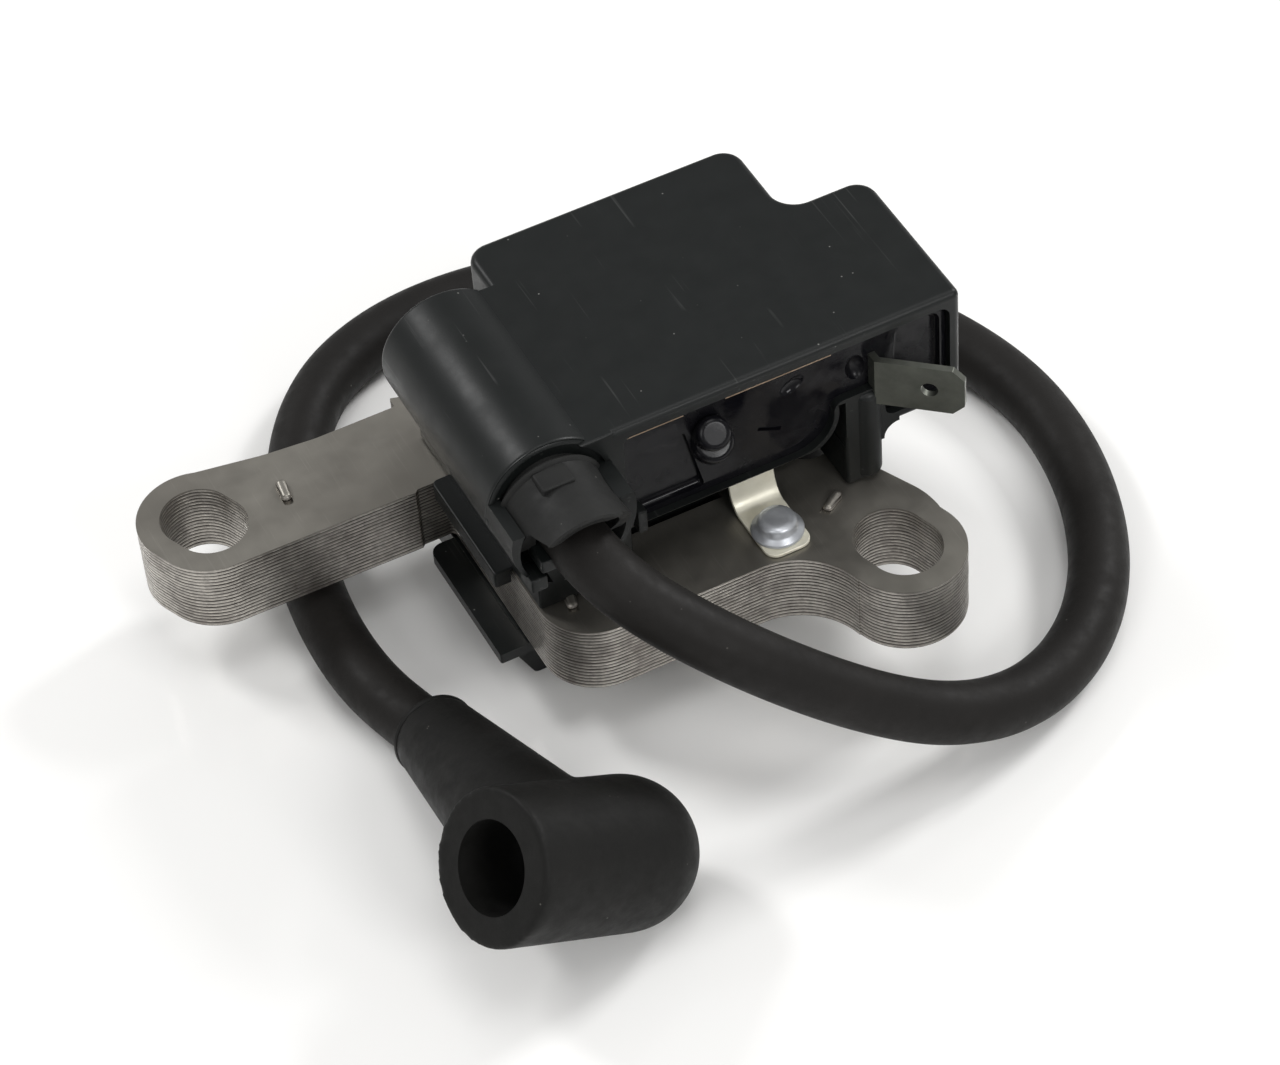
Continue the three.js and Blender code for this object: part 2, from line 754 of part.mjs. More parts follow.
function addTransformer() {
  const primaryBore = rodRadius + gap;
  const primaryTube = primaryBore + bobbinWall;
  const primaryInner = primaryTube + gap;
  const primaryOuter = primaryInner + primaryDepth;
  const secondaryBore = primaryOuter + gap;
  const secondaryTube = secondaryBore + bobbinWall;
  const secondaryInner = secondaryTube + fineGap;
  const secondaryOuter = secondaryInner + secondaryDepth;
  const secondaryRim = secondaryOuter + bobbinRim;
  const rodShape = rodY(coilAxisX, coilAxisZ, coilFront, coilBack, rodRadius);
  addPiece("transformer_core", rodShape, 0x4a4a4c, 0.4, 0.6);
  const primary = bobbinY(primaryBore, primaryTube, primaryOuter, coilFront + 0.6, coilBack - 0.6);
  addPiece("primary_bobbin", primary, nylonShade, 0, 0.5);
  const wound = windingY(primaryInner, primaryOuter, coilFront + 0.6, coilBack - 0.6);
  addPiece("primary_winding", wound, copperShade, 1, 0.35);
  const secondary = bobbinY(secondaryBore, secondaryTube, secondaryRim, coilFront + 1, coilBack - 1);
  addPiece("secondary_bobbin", secondary, nylonShade, 0, 0.5);
  const fine = windingY(secondaryInner, secondaryOuter, coilFront + 1, coilBack - 1);
  addPiece("secondary_winding", fine, copperShade, 1, 0.3);
}

// A section about the right leg of the core, grown by a reach, with round corners.
function legSection(reach, corner, y0, y1) {
  const left = legRightInnerX - reach;
  const right = legRightX + reach;
  const shape = roundedShape([
    [left, coreBottom - reach, corner],
    [right, coreBottom - reach, corner],
    [right, coreTop + reach, corner],
    [left, coreTop + reach, corner],
  ]);
  return prismAlongY(shape, y0, y1, 5);
}

function addChargeCoil() {
  const tube = gap + chargeTube;
  const inner = tube + gap;
  const outer = inner + chargeWinding;
  const body = joined([
    legSection(tube, 1, chargeFront, chargeBack),
    legSection(chargeFlangeReach, chargeCorner, chargeFront, chargeFront + chargeFlange),
    legSection(chargeFlangeReach, chargeCorner, chargeBack - chargeFlange, chargeBack),
  ]).subtract(legSection(gap, 0.01, chargeFront - 1, chargeBack + 1));
  addPiece("charge_coil_bobbin", body, nylonShade, 0, 0.5);
  const start = chargeFront + chargeFlange + gap;
  const end = chargeBack - chargeFlange - gap;
  const wound = legSection(outer, 3, start, end).subtract(legSection(inner, 1.2, start - 1, end + 1));
  addPiece("charge_coil_winding", wound, copperShade, 1, 0.35);
}

function rodZ(x, y, z0, z1, radius) {
  return rod(new THREE.Vector3(x, y, z0), new THREE.Vector3(x, y, z1), radius, radius, 28);
}

function addTriggerCoil() {
  const body = joined([
    rodZ(triggerX, triggerY, triggerLow, triggerHigh, triggerTube),
    rodZ(triggerX, triggerY, triggerLow, triggerLow + 0.8, triggerRadius),
    rodZ(triggerX, triggerY, triggerHigh - 0.8, triggerHigh, triggerRadius),
  ]).subtract(rodZ(triggerX, triggerY, triggerLow - 1, triggerHigh + 1, triggerTube - 0.8));
  addPiece("trigger_coil_bobbin", body, nylonShade, 0, 0.5);
  const wound = rodZ(
    triggerX, triggerY, triggerLow + 0.8 + gap, triggerHigh - 0.8 - gap, triggerRadius - 0.3,
  ).subtract(rodZ(triggerX, triggerY, triggerLow, triggerHigh, triggerTube + gap));
  addPiece("trigger_coil_winding", wound, copperShade, 1, 0.35);
}

function addElectronics() {
  const face = boardX + boardThickness + gap;
  const board = block(boardX, boardX + boardThickness, boardFront + 1.6, boardBack, boardLow, boardHigh);
  addPiece("circuit_board", board, 0x2f5d3a, 0, 0.5);
  const can = rodY(face + capacitorRadius, capacitorZ, 0, capacitorLength, capacitorRadius);
  addPiece("storage_capacitor", can, 0xa6552a, 0, 0.4);
  const thyristor = block(face, face + 1.6, 14.6, 18, boardHigh - 5.3, boardHigh - 0.7);
  addPiece("thyristor", thyristor, 0x151515, 0, 0.5);
  const top = smallPartsZ;
  const x = face + resistorRadius;
  addPiece("resistor_1", rodY(x, top, 6.6, 12.6, resistorRadius), 0xc9b48a, 0, 0.6);
  addPiece("resistor_2", rodY(x + 3 * resistorRadius, top, 6.6, 12.6, resistorRadius), 0xc9b48a, 0, 0.6);
  addPiece("diode_1", rodY(x, top, -1.6, 3.2, diodeRadius), 0x141414, 0, 0.4);
  addPiece("diode_2", rodY(x + 3 * diodeRadius, top, -1.6, 3.2, diodeRadius), 0x141414, 0, 0.4);
}

addCore();
addShell();
addResin();
addTerminals();
addCap();
addLead();
addBoot();
addTowerContact();
addTransformer();
addChargeCoil();
addTriggerCoil();
addElectronics();

export default coilGroup;
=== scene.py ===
import math
import random
import bpy
from mathutils import Matrix, Vector


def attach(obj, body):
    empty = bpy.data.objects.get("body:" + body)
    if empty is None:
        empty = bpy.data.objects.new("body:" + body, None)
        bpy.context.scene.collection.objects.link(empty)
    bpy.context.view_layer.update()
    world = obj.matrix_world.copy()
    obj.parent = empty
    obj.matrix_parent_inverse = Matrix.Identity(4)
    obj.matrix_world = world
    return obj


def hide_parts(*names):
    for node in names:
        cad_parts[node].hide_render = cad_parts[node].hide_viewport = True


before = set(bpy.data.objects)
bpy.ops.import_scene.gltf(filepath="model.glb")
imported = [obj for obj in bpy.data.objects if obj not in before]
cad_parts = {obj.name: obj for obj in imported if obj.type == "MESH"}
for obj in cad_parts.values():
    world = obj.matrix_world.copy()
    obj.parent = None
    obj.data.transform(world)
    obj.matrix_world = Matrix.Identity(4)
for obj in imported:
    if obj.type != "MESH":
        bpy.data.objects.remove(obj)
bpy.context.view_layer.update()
random.seed(7)


# small tools

def mm(*values):
    return tuple(value * 0.001 for value in values)


def pickOnly(piece):
    bpy.ops.object.select_all(action="DESELECT")
    piece.select_set(True)
    bpy.context.view_layer.objects.active = piece


def useModifier(piece, kind, **settings):
    pickOnly(piece)
    tool = piece.modifiers.new(kind.lower(), kind)
    for key, value in settings.items():
        setattr(tool, key, value)
    bpy.ops.object.modifier_apply(modifier=tool.name)


def softenEdges(piece, width, steps=2, angle=35):
    useModifier(piece, "BEVEL", width=width * 0.001, segments=steps, limit_method="ANGLE",
                angle_limit=math.radians(angle), use_clamp_overlap=True)


def join(piece, *others):
    bpy.ops.object.select_all(action="DESELECT")
    for other in others:
        other.select_set(True)
    piece.select_set(True)
    bpy.context.view_layer.objects.active = piece
    bpy.ops.object.join()
    return piece


def combine(piece, other, how="UNION"):
    useModifier(piece, "BOOLEAN", operation=how, object=other, solver="EXACT")
    bpy.data.objects.remove(other)
    return piece


def carve(piece, *cutters):
    for cutter in cutters:
        combine(piece, cutter, "DIFFERENCE")
    return piece


def unite(piece, *others):
    for other in others:
        combine(piece, other, "UNION")
    return piece


# corners are x, y, radius
def roundedPath(corners, stepAngle=7):
    points = []
    count = len(corners)
    for i, (x, y, radius) in enumerate(corners):
        here = Vector((x, y))
        before = (Vector(corners[i - 1][:2]) - here).normalized()
        after = (Vector(corners[(i + 1) % count][:2]) - here).normalized()
        if radius <= 0:
            points.append((x, y))
            continue
        half = before.angle(after) / 2
        reach = radius / math.tan(half)
        middle = here + (before + after).normalized() * (radius / math.sin(half))
        first = here + before * reach - middle
        turn = first.angle_signed(here + after * reach - middle)
        steps = max(2, round(abs(math.degrees(turn)) / stepAngle))
        for k in range(steps + 1):
            spun = first.copy()
            spun.rotate(Matrix.Rotation(-turn * k / steps, 2))
            points.append(tuple(middle + spun))
    return points


def raiseOutline(name, corners, low, high, rim=0.0, along="Z", steps=3, stepAngle=7):
    points = roundedPath(corners, stepAngle)
    bpy.ops.object.select_all(action="DESELECT")
    bpy.ops.mesh.primitive_circle_add(vertices=len(points), radius=0.01, fill_type="NGON")
    piece = bpy.context.object
    piece.name = name
    places = {
        "Z": lambda a, b: mm(a, b, low),
        "Y": lambda a, b: mm(a, low, b),
        "X": lambda a, b: mm(low, a, b),
    }
    for vertex, (a, b) in zip(piece.data.vertices, points):
        vertex.co = places[along](a, b)
    lift = [0.001 * (high - low) * (axis == along) for axis in "XYZ"]
    bpy.ops.object.mode_set(mode="EDIT")
    bpy.ops.mesh.select_all(action="SELECT")
    bpy.ops.mesh.extrude_region_move(TRANSFORM_OT_translate={"value": lift})
    bpy.ops.mesh.select_all(action="SELECT")
    bpy.ops.mesh.normals_make_consistent(inside=False)
    bpy.ops.object.mode_set(mode="OBJECT")
    if rim:
        softenEdges(piece, rim, steps)
    return piece


def block(name, x0, x1, y0, y1, z0, z1, rim=0.0, steps=2):
    bpy.ops.object.select_all(action="DESELECT")
    bpy.ops.mesh.primitive_cube_add(size=1)
    piece = bpy.context.object
    piece.name = name
    piece.scale = mm(x1 - x0, y1 - y0, z1 - z0)
    piece.location = mm((x0 + x1) / 2, (y0 + y1) / 2, (z0 + z1) / 2)
    settle(piece)
    if rim:
        softenEdges(piece, rim, steps)
    return piece


def settle(piece):
    pickOnly(piece)
    bpy.ops.object.transform_apply(location=True, rotation=True, scale=True)


def rod(name, start, end, radius, endRadius=None, sides=72, rim=0.0, steps=3):
    start, end = Vector(start), Vector(end)
    bpy.ops.object.select_all(action="DESELECT")
    bpy.ops.mesh.primitive_cone_add(vertices=sides, radius1=radius * 0.001,
                                    radius2=(radius if endRadius is None else endRadius) * 0.001,
                                    depth=(end - start).length * 0.001)
    piece = bpy.context.object
    piece.name = name
    piece.rotation_mode = "QUATERNION"
    piece.rotation_quaternion = (end - start).to_track_quat("Z", "Y")
    piece.location = (start + end) * 0.0005
    settle(piece)
    if rim:
        softenEdges(piece, rim, steps, 50)
    return piece


def rodY(name, x, z, y0, y1, radius, endRadius=None, **more):
    return rod(name, (x, y0, z), (x, y1, z), radius, endRadius, **more)


# profile is radius, height about the Z axis; closed on the axis or on itself
def turned(name, profile, steps=96):
    bpy.ops.object.select_all(action="DESELECT")
    bpy.ops.mesh.primitive_circle_add(vertices=len(profile), radius=0.01, fill_type="NOTHING")
    piece = bpy.context.object
    piece.name = name
    for vertex, (radius, height) in zip(piece.data.vertices, profile):
        vertex.co = mm(radius, 0, height)
    bpy.ops.object.mode_set(mode="EDIT")
    bpy.ops.mesh.select_all(action="SELECT")
    bpy.ops.mesh.spin(steps=steps, angle=math.tau, center=(0, 0, 0), axis=(0, 0, 1), use_auto_merge=True)
    bpy.ops.mesh.select_all(action="SELECT")
    bpy.ops.mesh.remove_doubles(threshold=1e-6)
    bpy.ops.mesh.dissolve_degenerate(threshold=1e-7)
    bpy.ops.mesh.normals_make_consistent(inside=False)
    bpy.ops.object.mode_set(mode="OBJECT")
    return piece


def smooth(piece, angle=32):
    pickOnly(piece)
    bpy.ops.object.shade_smooth_by_angle(angle=math.radians(angle))
    useModifier(piece, "WEIGHTED_NORMAL", keep_sharp=True)


def finishPiece(piece, finish, slotName, *nodes, angle=32):
    smooth(piece, angle)
    piece.data.materials.clear()
    piece.data.materials.append(finish)
    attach(piece, "root")
    if nodes:
        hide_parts(*nodes)
    return piece


# camera, floor and lights

cameraView = {
    "place": (-0.12667, -0.30577, 0.37195),
    "right": (0.8876, -0.4571, -0.0571),
    "up": (0.3709, 0.6356, 0.6770),
    "lens": 125.2,
}


def setCamera():
    data = bpy.data.cameras.new("view")
    camera = bpy.data.objects.new("view", data)
    bpy.context.scene.collection.objects.link(camera)
    right = Vector(cameraView["right"]).normalized()
    up = Vector(cameraView["up"])
    back = right.cross(up).normalized()
    up = back.cross(right)
    turn = Matrix((right, up, back)).transposed()
    camera.matrix_world = Matrix.Translation(cameraView["place"]) @ turn.to_4x4()
    data.lens = cameraView["lens"]
    data.sensor_width = 36
    data.clip_start = 0.02
    data.clip_end = 20
    bpy.context.scene.camera = camera


studio = {
    "worldColour": (1.0, 1.0, 1.0),
    "worldStrength": 0.4,
    "floorColour": (0.95, 0.945, 0.93),
    "floorRoughness": 0.12,
    # name: place, aim, width, height, watts
    "softboxes": {
        "right": ((1.05, 0.2, 0.85), (0.0, 0.0, 0.01), 0.3, 0.3, 7.5),
        "backLeft": ((-0.55, 0.85, 1.0), (0.0, 0.0, 0.01), 0.3, 0.3, 6.0),
        "top": ((0.1, -0.2, 1.3), (0.0, 0.0, 0.01), 0.6, 0.6, 3.2),
        "front": ((0.25, -1.05, 0.8), (0.0, 0.0, 0.01), 0.5, 0.3, 5.0),
        "frontLeft": ((-0.85, -0.6, 0.8), (0.0, 0.0, 0.01), 0.4, 0.4, 2.6),
    },
}


def setStudio():
    scene = bpy.context.scene
    scene.view_settings.view_transform = "Standard"
    scene.view_settings.look = "None"
    world = bpy.data.worlds.new("studio")
    world.use_nodes = True
    sky = world.node_tree.nodes["Background"]
    sky.inputs["Color"].default_value = (*studio["worldColour"], 1)
    sky.inputs["Strength"].default_value = studio["worldStrength"]
    scene.world = world
    for name, (place, aim, width, height, watts) in studio["softboxes"].items():
        data = bpy.data.lights.new(name, "AREA")
        data.shape = "RECTANGLE"
        data.size = width
        data.size_y = height
        data.energy = watts
        lamp = bpy.data.objects.new(name, data)
        scene.collection.objects.link(lamp)
        lamp.location = place
        lamp.rotation_euler = (Vector(aim) - Vector(place)).to_track_quat("-Z", "Y").to_euler()
    bpy.ops.object.select_all(action="DESELECT")
    bpy.ops.mesh.primitive_plane_add(size=8, location=(0, 0, 0))
    floor = bpy.context.object
    floor.name = "floor"
    finish = bpy.data.materials.new("floorGloss")
    finish.use_nodes = True
    shader = finish.node_tree.nodes["Principled BSDF"]
    shader.inputs["Base Color"].default_value = (*studio["floorColour"], 1)
    shader.inputs["Roughness"].default_value = studio["floorRoughness"]
    shader.inputs["Specular IOR Level"].default_value = 0.5
    floor.data.materials.append(finish)


setCamera()
setStudio()
print("camera, floor and lights are up")


# finishes

# one material and short ways to add nodes to it
class Finish:
    def __init__(self, name, colour, roughness, metallic=0.0, specular=0.5):
        self.material = bpy.data.materials.new(name)
        self.material.use_nodes = True
        self.nodes = self.material.node_tree.nodes
        self.links = self.material.node_tree.links
        self.shader = self.nodes["Principled BSDF"]
        self.set("Base Color", (*colour, 1))
        self.set("Roughness", roughness)
        self.set("Metallic", metallic)
        self.set("Specular IOR Level", specular)
        self.place = self.nodes.new("ShaderNodeTexCoord").outputs["Object"]
        self.bumpOut = None

    def set(self, socket, value):
        self.shader.inputs[socket].default_value = value

    def stretched(self, scale=(1, 1, 1), turn=(0, 0, 0)):
        node = self.nodes.new("ShaderNodeMapping")
        node.inputs["Scale"].default_value = scale
        node.inputs["Rotation"].default_value = [math.radians(t) for t in turn]
        self.links.new(self.place, node.inputs["Vector"])
        return node.outputs["Vector"]

    def noise(self, perMm, detail=4, rough=0.5, where=None, distortion=0.0):
        node = self.nodes.new("ShaderNodeTexNoise")
        node.inputs["Scale"].default_value = perMm * 1000
        node.inputs["Detail"].default_value = detail
        node.inputs["Roughness"].default_value = rough
        node.inputs["Distortion"].default_value = distortion
        self.links.new(where or self.place, node.inputs["Vector"])
        return node.outputs["Fac"]

    def cells(self, perMm, where=None, feature="F1"):
        node = self.nodes.new("ShaderNodeTexVoronoi")
        node.feature = feature
        node.inputs["Scale"].default_value = perMm * 1000
        self.links.new(where or self.place, node.inputs["Vector"])
        return node.outputs["Distance"]

    def ramp(self, value, low, high, start=0.0, end=1.0):
        node = self.nodes.new("ShaderNodeMapRange")
        node.inputs["From Min"].default_value = low
        node.inputs["From Max"].default_value = high
        node.inputs["To Min"].default_value = start
        node.inputs["To Max"].default_value = end
        self.links.new(value, node.inputs["Value"])
        return node.outputs["Result"]

    def math(self, how, a, b):
        node = self.nodes.new("ShaderNodeMath")
        node.operation = how
        for socket, value in zip(node.inputs, (a, b)):
            if isinstance(value, (int, float)):
                socket.default_value = value
            else:
                self.links.new(value, socket)
        return node.outputs[0]

    def blendColours(self, factor, first, second):
        node = self.nodes.new("ShaderNodeMix")
        node.data_type = "RGBA"
        self.links.new(factor, node.inputs["Factor"])
        for socket, value in ((node.inputs[6], first), (node.inputs[7], second)):
            if isinstance(value, tuple):
                socket.default_value = (*value, 1)
            else:
                self.links.new(value, socket)
        return node.outputs[2]

    def colour(self, output):
        self.links.new(output, self.shader.inputs["Base Color"])

    def roughness(self, output):
        self.links.new(output, self.shader.inputs["Roughness"])

    def bump(self, height, depthMm, strength=1.0):
        node = self.nodes.new("ShaderNodeBump")
        node.inputs["Distance"].default_value = depthMm * 0.001
        node.inputs["Strength"].default_value = strength
        self.links.new(height, node.inputs["Height"])
        if self.bumpOut:
            self.links.new(self.bumpOut, node.inputs["Normal"])
        self.bumpOut = node.outputs["Normal"]
        self.links.new(self.bumpOut, self.shader.inputs["Normal"])

    def facing(self):
        node = self.nodes.new("ShaderNodeNewGeometry")
        split = self.nodes.new("ShaderNodeSeparateXYZ")
        self.links.new(node.outputs["Normal"], split.inputs[0])
        return split.outputs["Z"]


# thin broken lines in one direction
def scratchMask(finish, turnZ, fine=1.4, keep=0.72):
    lines = finish.noise(fine, 2, 0.6, finish.stretched((1, 0.02, 1), (0, 0, turnZ)))
    gaps = finish.noise(0.12, 2, 0.5)
    thin = finish.ramp(lines, keep - 0.03, keep + 0.02)
    return finish.math("MULTIPLY", thin, finish.ramp(gaps, 0.48, 0.58))


def shellFinish():
    finish = Finish("shellSatinBlack", (0.008, 0.009, 0.009), 0.4, 0, 0.29)
    cloud = finish.noise(0.05, 4, 0.6)
    dust = finish.ramp(finish.cells(0.7), 0.09, 0.03)
    rare = finish.ramp(finish.noise(0.35, 2, 0.5), 0.58, 0.63)
    specks = finish.math("MULTIPLY", dust, rare)
    base = finish.blendColours(cloud, (0.0042, 0.0052, 0.0051), (0.0068, 0.0082, 0.0079))
    scratches = finish.math("MAXIMUM", scratchMask(finish, 63), scratchMask(finish, -24))
    scratches = finish.math("MAXIMUM", scratches, scratchMask(finish, 12, 1.1, 0.7))
    wearAndGlint = finish.blendColours(finish.math("MULTIPLY", scratches, 0.35), base, (0.06, 0.062, 0.06))
    finish.colour(finish.blendColours(finish.math("MULTIPLY", specks, 0.55), wearAndGlint, (0.3, 0.3, 0.28)))
    finish.roughness(finish.ramp(finish.noise(0.3, 5, 0.6), 0.3, 0.7, 0.37, 0.47))
    finish.bump(finish.noise(3.5, 3, 0.6), 0.008, 0.45)
    finish.bump(finish.noise(0.09, 2, 0.5), 0.06, 0.3)
    return finish.material


def resinFinish():
    finish = Finish("castResin", (0.007, 0.007, 0.0095), 0.16, 0, 0.2)
    cloud = finish.ramp(finish.noise(0.4, 3, 0.6), 0.35, 0.7)
    finish.colour(finish.blendColours(cloud, (0.0035, 0.0035, 0.005), (0.007, 0.0068, 0.008)))
    finish.roughness(finish.ramp(finish.noise(0.22, 3, 0.6), 0.4, 0.62, 0.07, 0.3))
    finish.bump(finish.noise(0.16, 1, 0.3, None, 0.6), 0.3, 0.5)
    finish.bump(finish.noise(1.4, 3, 0.6), 0.012, 0.5)
    return finish.material


def rubberFinish(name, dark, light, grain=2.2):
    finish = Finish(name, dark, 0.6, 0, 0.21)
    cloud = finish.noise(0.11, 5, 0.65)
    base = finish.blendColours(finish.ramp(cloud, 0.3, 0.7), dark, light)
    dust = finish.ramp(finish.cells(0.55), 0.075, 0.03)
    rare = finish.ramp(finish.noise(0.4, 2, 0.5), 0.54, 0.6)
    specks = finish.math("MULTIPLY", finish.math("MULTIPLY", dust, rare), 0.3)
    finish.colour(finish.blendColours(specks, base, (0.35, 0.34, 0.31)))
    finish.roughness(finish.ramp(finish.noise(0.5, 4, 0.6), 0.3, 0.7, 0.5, 0.68))
    finish.bump(finish.noise(grain, 4, 0.65), 0.03, 0.6)
    finish.bump(finish.noise(0.2, 2, 0.5), 0.2, 0.25)
    return finish.material


def steelFinish():
    finish = Finish("punchedSteel", (0.42, 0.4, 0.375), 0.42, 0.9, 0.5)
    flat = finish.ramp(finish.math("ABSOLUTE", finish.facing(), 0), 0.5, 0.9)
    cloud = finish.ramp(finish.noise(0.05, 4, 0.55), 0.35, 0.65)
    topTone = finish.blendColours(cloud, (0.24, 0.226, 0.2), (0.295, 0.281, 0.25))
    rubbed = finish.noise(3.2, 3, 0.6, finish.stretched((1, 0.03, 1), (0, 0, -6)))
    topTone = finish.blendColours(finish.ramp(rubbed, 0.6, 0.8, 0, 0.22), topTone, (0.48, 0.46, 0.42))
    height = finish.nodes.new("ShaderNodeSeparateXYZ")
    finish.links.new(finish.place, height.inputs[0])
    stackLow, sheetThick = 0.0085, 0.0005  # metres
    aboveLow = finish.math("SUBTRACT", height.outputs["Z"], stackLow)
    layer = finish.math("FRACT", finish.math("DIVIDE", aboveLow, sheetThick), 0)
    fromSeam = finish.math("ABSOLUTE", finish.math("SUBTRACT", layer, 0.5), 0)
    patchy = finish.ramp(finish.noise(0.25, 3, 0.6, finish.stretched((1, 1, 0.3))), 0.35, 0.6, 0.55, 1.0)
    seam = finish.math("MULTIPLY", finish.ramp(fromSeam, 0.3, 0.36), patchy)
    # painted highlight: a bright line along the lower edge of every sheet, broken up by noise, stands in for
    # light catching the sheared burrs
    burrHighlight = finish.math("MULTIPLY", finish.ramp(layer, 0.16, 0.22), finish.ramp(layer, 0.44, 0.38))
    wearAndGlint = finish.ramp(finish.noise(0.8, 3, 0.65), 0.4, 0.6)
    grain = finish.noise(2.2, 3, 0.6)
    sideTone = finish.blendColours(finish.ramp(grain, 0.3, 0.7), (0.36, 0.34, 0.312), (0.5, 0.475, 0.437))
    dull = finish.ramp(finish.noise(0.12, 3, 0.55), 0.4, 0.62)
    sideTone = finish.blendColours(dull, sideTone, (0.27, 0.25, 0.228))
    sideTone = finish.blendColours(seam, sideTone, (0.035, 0.03, 0.026))
    # the painted highlight is mixed into the side colour here
    paintedEdgeHighlight = finish.math("MULTIPLY", finish.math("MULTIPLY", burrHighlight, wearAndGlint), 0.75)
    sideTone = finish.blendColours(paintedEdgeHighlight, sideTone, (0.75, 0.71, 0.64))
    finish.colour(finish.blendColours(flat, sideTone, topTone))
    topRough = finish.ramp(finish.noise(0.2, 4, 0.6), 0.3, 0.7, 0.36, 0.48)
    sideRough = finish.ramp(grain, 0.3, 0.7, 0.5, 0.36)
    mixed = finish.nodes.new("ShaderNodeMix")
    finish.links.new(flat, mixed.inputs["Factor"])
    finish.links.new(sideRough, mixed.inputs[2])
    finish.links.new(topRough, mixed.inputs[3])
    finish.roughness(mixed.outputs[0])
    shear = finish.noise(3.0, 3, 0.6)
    rough = finish.math("MULTIPLY", shear, finish.math("SUBTRACT", 1.0, flat))
    finish.bump(rough, 0.03, 0.6)
    finish.bump(finish.noise(1.8, 3, 0.6), 0.01, 0.4)
    return finish.material


def plateFinish(name, dark, light, roughness, metallic=0.95, grainTurn=0):
    finish = Finish(name, light, roughness, metallic, 0.5)
    cloud = finish.noise(0.25, 4, 0.6)
    finish.colour(finish.blendColours(finish.ramp(cloud, 0.3, 0.7), dark, light))
    finish.roughness(finish.ramp(finish.noise(0.9, 4, 0.6), 0.3, 0.7, roughness - 0.07, roughness + 0.1))
    lines = finish.noise(3, 2, 0.5, finish.stretched((0.06, 0.06, 1), (0, 0, grainTurn)))
    finish.bump(lines, 0.012, 0.5)
    finish.bump(finish.noise(0.8, 2, 0.5), 0.015, 0.3)
    return finish.material


# the pieces behind the resin
def innerFinish(name, dark, light, roughness, metallic=0.0, grain=1.0, wireAlong=None):
    finish = Finish(name, light, roughness, metallic, 0.5)
    finish.colour(finish.blendColours(finish.ramp(finish.noise(grain, 4, 0.6), 0.3, 0.7), dark, light))
    finish.bump(finish.noise(grain * 3, 3, 0.6), 0.02, 0.5)
    if wireAlong:
        wave = finish.nodes.new("ShaderNodeTexWave")
        wave.bands_direction = wireAlong
        wave.inputs["Scale"].default_value = 1500
        finish.links.new(finish.place, wave.inputs["Vector"])
        finish.bump(wave.outputs["Fac"], 0.06, 0.8)
    return finish.material


finishes = {
    "shell": shellFinish(),
    "cap": rubberFinish("capMoulding", (0.011, 0.0112, 0.011), (0.021, 0.0212, 0.0202), 1.4),
    "resin": resinFinish(),
    "lead": rubberFinish("leadCover", (0.0075, 0.0066, 0.0059), (0.0112, 0.01, 0.009), 2.6),
    "boot": rubberFinish("bootRubber", (0.0042, 0.0042, 0.0038), (0.0078, 0.0075, 0.0068), 2.0),
    "steel": steelFinish(),
    "tab": plateFinish("tinnedBlade", (0.085, 0.089, 0.077), (0.135, 0.141, 0.122), 0.42, 0.8),
    "strap": plateFinish("strapTin", (0.72, 0.69, 0.56), (0.88, 0.85, 0.72), 0.36, 0.25, 90),
    "rivet": plateFinish("rivetAluminium", (0.5, 0.52, 0.55), (0.62, 0.64, 0.67), 0.38, 0.7, 30),
    # painted reflection: gold colour for the rods that stand in for the warm glint on the rim's inner edge
    "rimGlint": plateFinish("rimGlintGold", (0.16, 0.11, 0.07), (0.27, 0.2, 0.14), 0.3, 0.6),
}
print("finishes are mixed")


# core

core = {
    "low": 8.5,
    "sheet": 0.5,
    "count": 18,
    "gapShare": 0.08,
    "edge": 0.05,
    "wobble": 0.014,
    "armFront": 12.9,
    "armBack": 25.75,
    "poleLeft": -9.7,
    "legLeft": -9.2,
    "legRight": 24.5,
    "yokeFront": -16.3,
    "yokeBack": -5.0,
    "poleEnd": 27.2,
    "leftEar": (-35.3, 20.5),
    "leftWay": (-0.4, 0.92),
    "rightEar": (28.83, -20.45),
    "rightWay": (-0.32, 0.95),
    "earRadius": 6.8,
    "slotRadius": 4.2,
    "slotTravel": 1.0,
    "lances": [(-25.9, 19.9, -96), (25.4, -11.9, 210), (-5.7, -10.2, 260)],
}


# a round-ended slot as four corners with full rounds
def slotShape(name, centre, way, radius, low, high):
    centre, way = Vector(centre), Vector(way).normalized()
    side = Vector((-way.y, way.x))
    far = core["slotTravel"] + radius
    corners = [centre + way * a * far + side * b * radius for a, b in ((1, 1), (-1, 1), (-1, -1), (1, -1))]
    return raiseOutline(name, [(c.x, c.y, radius * 0.998) for c in corners], low, high, stepAngle=5)


